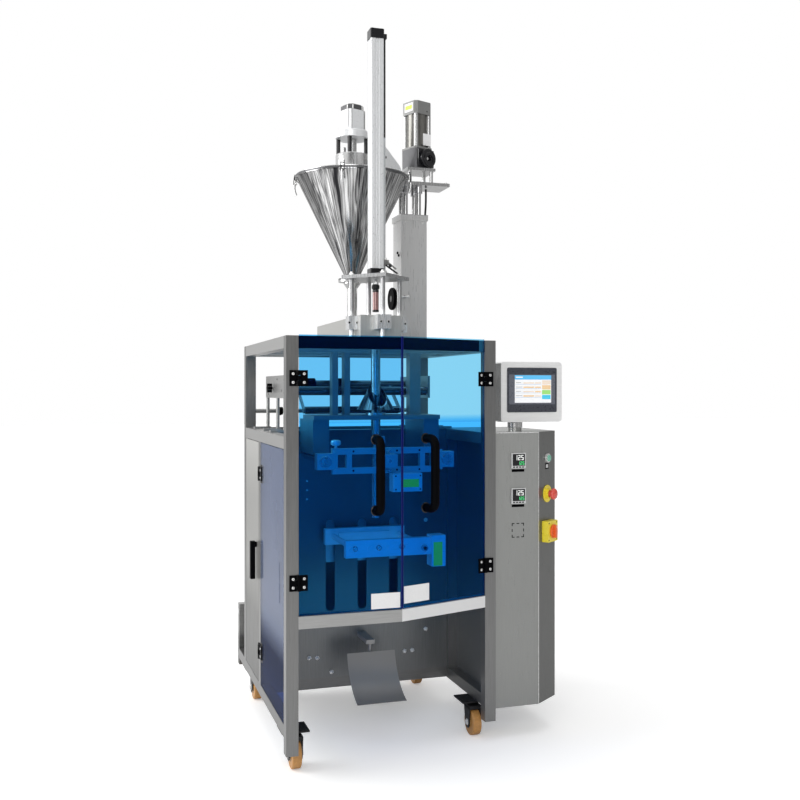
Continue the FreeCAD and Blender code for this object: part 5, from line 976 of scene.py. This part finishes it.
# Film unit: star knob, collar on the back shaft and screws in the side plate
film = Piece("film_details", "frame", slot="black_plastic")
star = []
for step in range(48):
    a = 2 * math.pi * step / 48
    r = 15.5 + 2.6 * math.cos(6 * a)
    star.append((536 + r * math.cos(a), 1182 + r * math.sin(a)))
film.plan("black", star, 37, 52.5, "x")
film.ring("black", (126, 808, 1095), 8.1, 15, 0, 18, "x", 32)
film.rod("black", (135, 808, 1078), (135, 808, 1088), 4, 16)
for y, z in ((345, 1210), (345, 1165), (470, 1212), (640, 1160)):
    film.rod("black", (59.2, y, z), (60.2, y, z), 3.4, 16)
for y, z in ((640, 1192), (560, 1180)):
    film.rod("screw", (56, y, z), (60, y, z), 7, 20)
film.done(0.5)
cores = Piece("roller_collars", "feed_roller", slot="black_plastic")
for x, wide in ((192, 40), (322, 14)):
    cores.ring("black", (x, 640, 1192), 19.1, 27, 0, wide, "x", 48)
cores.done(0.5)

# Jaws: blank green plate on the end block, and the round ends along the front bar
jaws = Piece("jaw_details", "front_jaw", slot="chrome_shaft")
# The green plate glows with painted light
jaws.box("plate_green_painted_glow", (516, 126.3, 596), (547, 127, 674))
jaws.rod("shaft", (486, 135, 656), (486, 124, 656), 11, 24)
jaws.rod("black_gloss", (486, 124, 656), (486, 121, 656), 6, 20)
for x in (250, 330, 408):
    jaws.rod("shaft", (x, 135, 664), (x, 129, 664), 9, 24)
    jaws.hexagon("screw", (x, 129, 664), (x, 125, 664), 6)
jaws.done(0.3)

# Dark edges of the blue sheets where the doors meet
for label, pin, turn, low, high in (("left", LEFT_PIN, 0, 324.6, 326.2),
                                    ("right", RIGHT_PIN, SLANT, -340.3, -338.7)):
    edge = Piece(f"door_edge_{label}", label + "_door", slot="blue_acrylic", spot=pin, turn=turn)
    edge.box("edge_blue", (low, -0.1, 494), (high, 5.1, 1342))
    edge.done(0.0)

# Column: clamp lever with a white ball, and two screws beside it
lever = Piece("column_lever", "frame", slot="chrome_shaft")
lever.rod("shaft", (549, 546, 1521), (549, 534, 1521), 5, 20)
lever.rod("white_plastic", (527, 536, 1521), (560, 536, 1521), 2.6, 16)
lever.ball("white_plastic", (562, 536, 1521), 5.5, 16)
lever.rod("black", (536, 575, 1687), (531, 575, 1687), 5, 16)
lever.rod("black", (536, 562, 1676), (531, 562, 1676), 5, 16)
lever.done(0.3)

# Tall gusset on the arm between the column and the filler
brace = Piece("arm_gusset_tall", "filler_head", slot="stainless_sheet")
brace.plan("alloy_white", [(412, 1962.2), (578, 1962.2), (556, 1992), (546, 2016), (484, 2092), (450, 2108),
                           (412, 2108)], 588, 594, "y")
brace.rod("black", (490, 588.2, 2044), (490, 587.4, 2044), 5, 20)
brace.done(0.5)

# Camera, floor and light
YAW = math.radians(17.7)
camera_data = bpy.data.cameras.new("camera")
camera = bpy.data.objects.new("camera", camera_data)
bpy.context.scene.collection.objects.link(camera)
camera.location = at(-563.4, -2891.7, 1175)
camera.rotation_euler = (math.radians(90), 0, -YAW)
camera_data.lens = 43.8
camera_data.sensor_width = 36
camera_data.shift_y = -0.0125
camera_data.clip_end = 60
bpy.context.scene.camera = camera

floor_mesh = bpy.data.meshes.new("floor")
floor_mesh.from_pydata([(-30, -30, 0), (30, -30, 0), (30, 30, 0), (-30, 30, 0)], [], [(0, 1, 2, 3)])
floor = bpy.data.objects.new("floor", floor_mesh)
bpy.context.scene.collection.objects.link(floor)
floor_material, tree, shader = new_material("floor_pale")
source = noise(tree, 2)
link(tree, ramp(tree, source, [(0.2, (0.90, 0.90, 0.90)), (0.8, (0.93, 0.93, 0.93))]),
     shader.inputs["Base Color"])
shader.inputs["Roughness"].default_value = 0.8
shader.inputs["Emission Color"].default_value = (1, 1, 1, 1)
rays = tree.nodes.new("ShaderNodeLightPath")
place = tree.nodes.new("ShaderNodeTexCoord")
far = tree.nodes.new("ShaderNodeVectorMath")
far.operation = "LENGTH"
link(tree, place.outputs["Object"], far.inputs[0])
pale = spread(tree, far.outputs["Value"], 0.30, 0.62, 0.8, 4.0)
link(tree, calc(tree, "MULTIPLY", rays.outputs["Is Camera Ray"], pale), shader.inputs["Emission Strength"])
floor_mesh.materials.append(floor_material)

world = bpy.data.worlds.new("studio")
world.use_nodes = True
bpy.context.scene.world = world
tree = world.node_tree
rays = tree.nodes.new("ShaderNodeLightPath")

# The room as the metal sees it: bright and dark upright bands round the compass, paler upwards
coord = tree.nodes.new("ShaderNodeTexCoord")
ways = tree.nodes.new("ShaderNodeSeparateXYZ")
link(tree, coord.outputs["Generated"], ways.inputs["Vector"])
heading = calc(tree, "ARCTAN2", ways.outputs["Y"], ways.outputs["X"])
compass = calc(tree, "ADD", calc(tree, "DIVIDE", heading, 2 * math.pi), 0.5)
BASE_LIGHT = 0.55
BANDS = ((0.0, 1.0), (0.10, 0.95), (0.16, 0.12), (0.24, 0.16), (0.285, 0.18), (0.315, 0.55), (0.35, 0.70),
         (0.42, 0.60), (0.50, 0.20), (0.62, 0.8), (0.75, 1.1), (0.88, 1.1), (1.0, 1.0))
bands = ramp(tree, compass, [(spot, (level,) * 3) for spot, level in BANDS])
upward = spread(tree, ways.outputs["Z"], 0.45, 1.0, -0.1, 0.6)
room = calc(tree, "MULTIPLY", bands, upward)
clear = calc(tree, "MAXIMUM", rays.outputs["Is Camera Ray"], rays.outputs["Is Transmission Ray"])
glossy = calc(tree, "MULTIPLY", rays.outputs["Is Glossy Ray"], calc(tree, "SUBTRACT", room, BASE_LIGHT))
soft = calc(tree, "ADD", glossy, BASE_LIGHT)
strength = calc(tree, "ADD", soft, calc(tree, "MULTIPLY", clear, calc(tree, "SUBTRACT", 1.0, soft)))
link(tree, strength, tree.nodes["Background"].inputs["Strength"])
tree.nodes["Background"].inputs["Color"].default_value = (1, 1, 1, 1)


def softbox(name, spot, aim, size, power):
    data = bpy.data.lights.new(name, "AREA")
    data.shape = "RECTANGLE"
    data.size, data.size_y = size
    data.energy = power
    lamp = bpy.data.objects.new(name, data)
    bpy.context.scene.collection.objects.link(lamp)
    lamp.location = spot
    lamp.rotation_euler = (Vector(aim) - Vector(spot)).to_track_quat("-Z", "Y").to_euler()
    return lamp


softbox("key_left", (-4.5, 0.8, 2.6), (0, 0, 1.1), (3.0, 3.0), 160)
softbox("fill_front", (-2.2, -4.8, 2.6), (0, 0, 1.1), (3.0, 2.5), 70)
softbox("top", (0, 0, 5.0), (0, 0, 0), (4.0, 4.0), 60)

bpy.context.scene.view_settings.view_transform = "Standard"
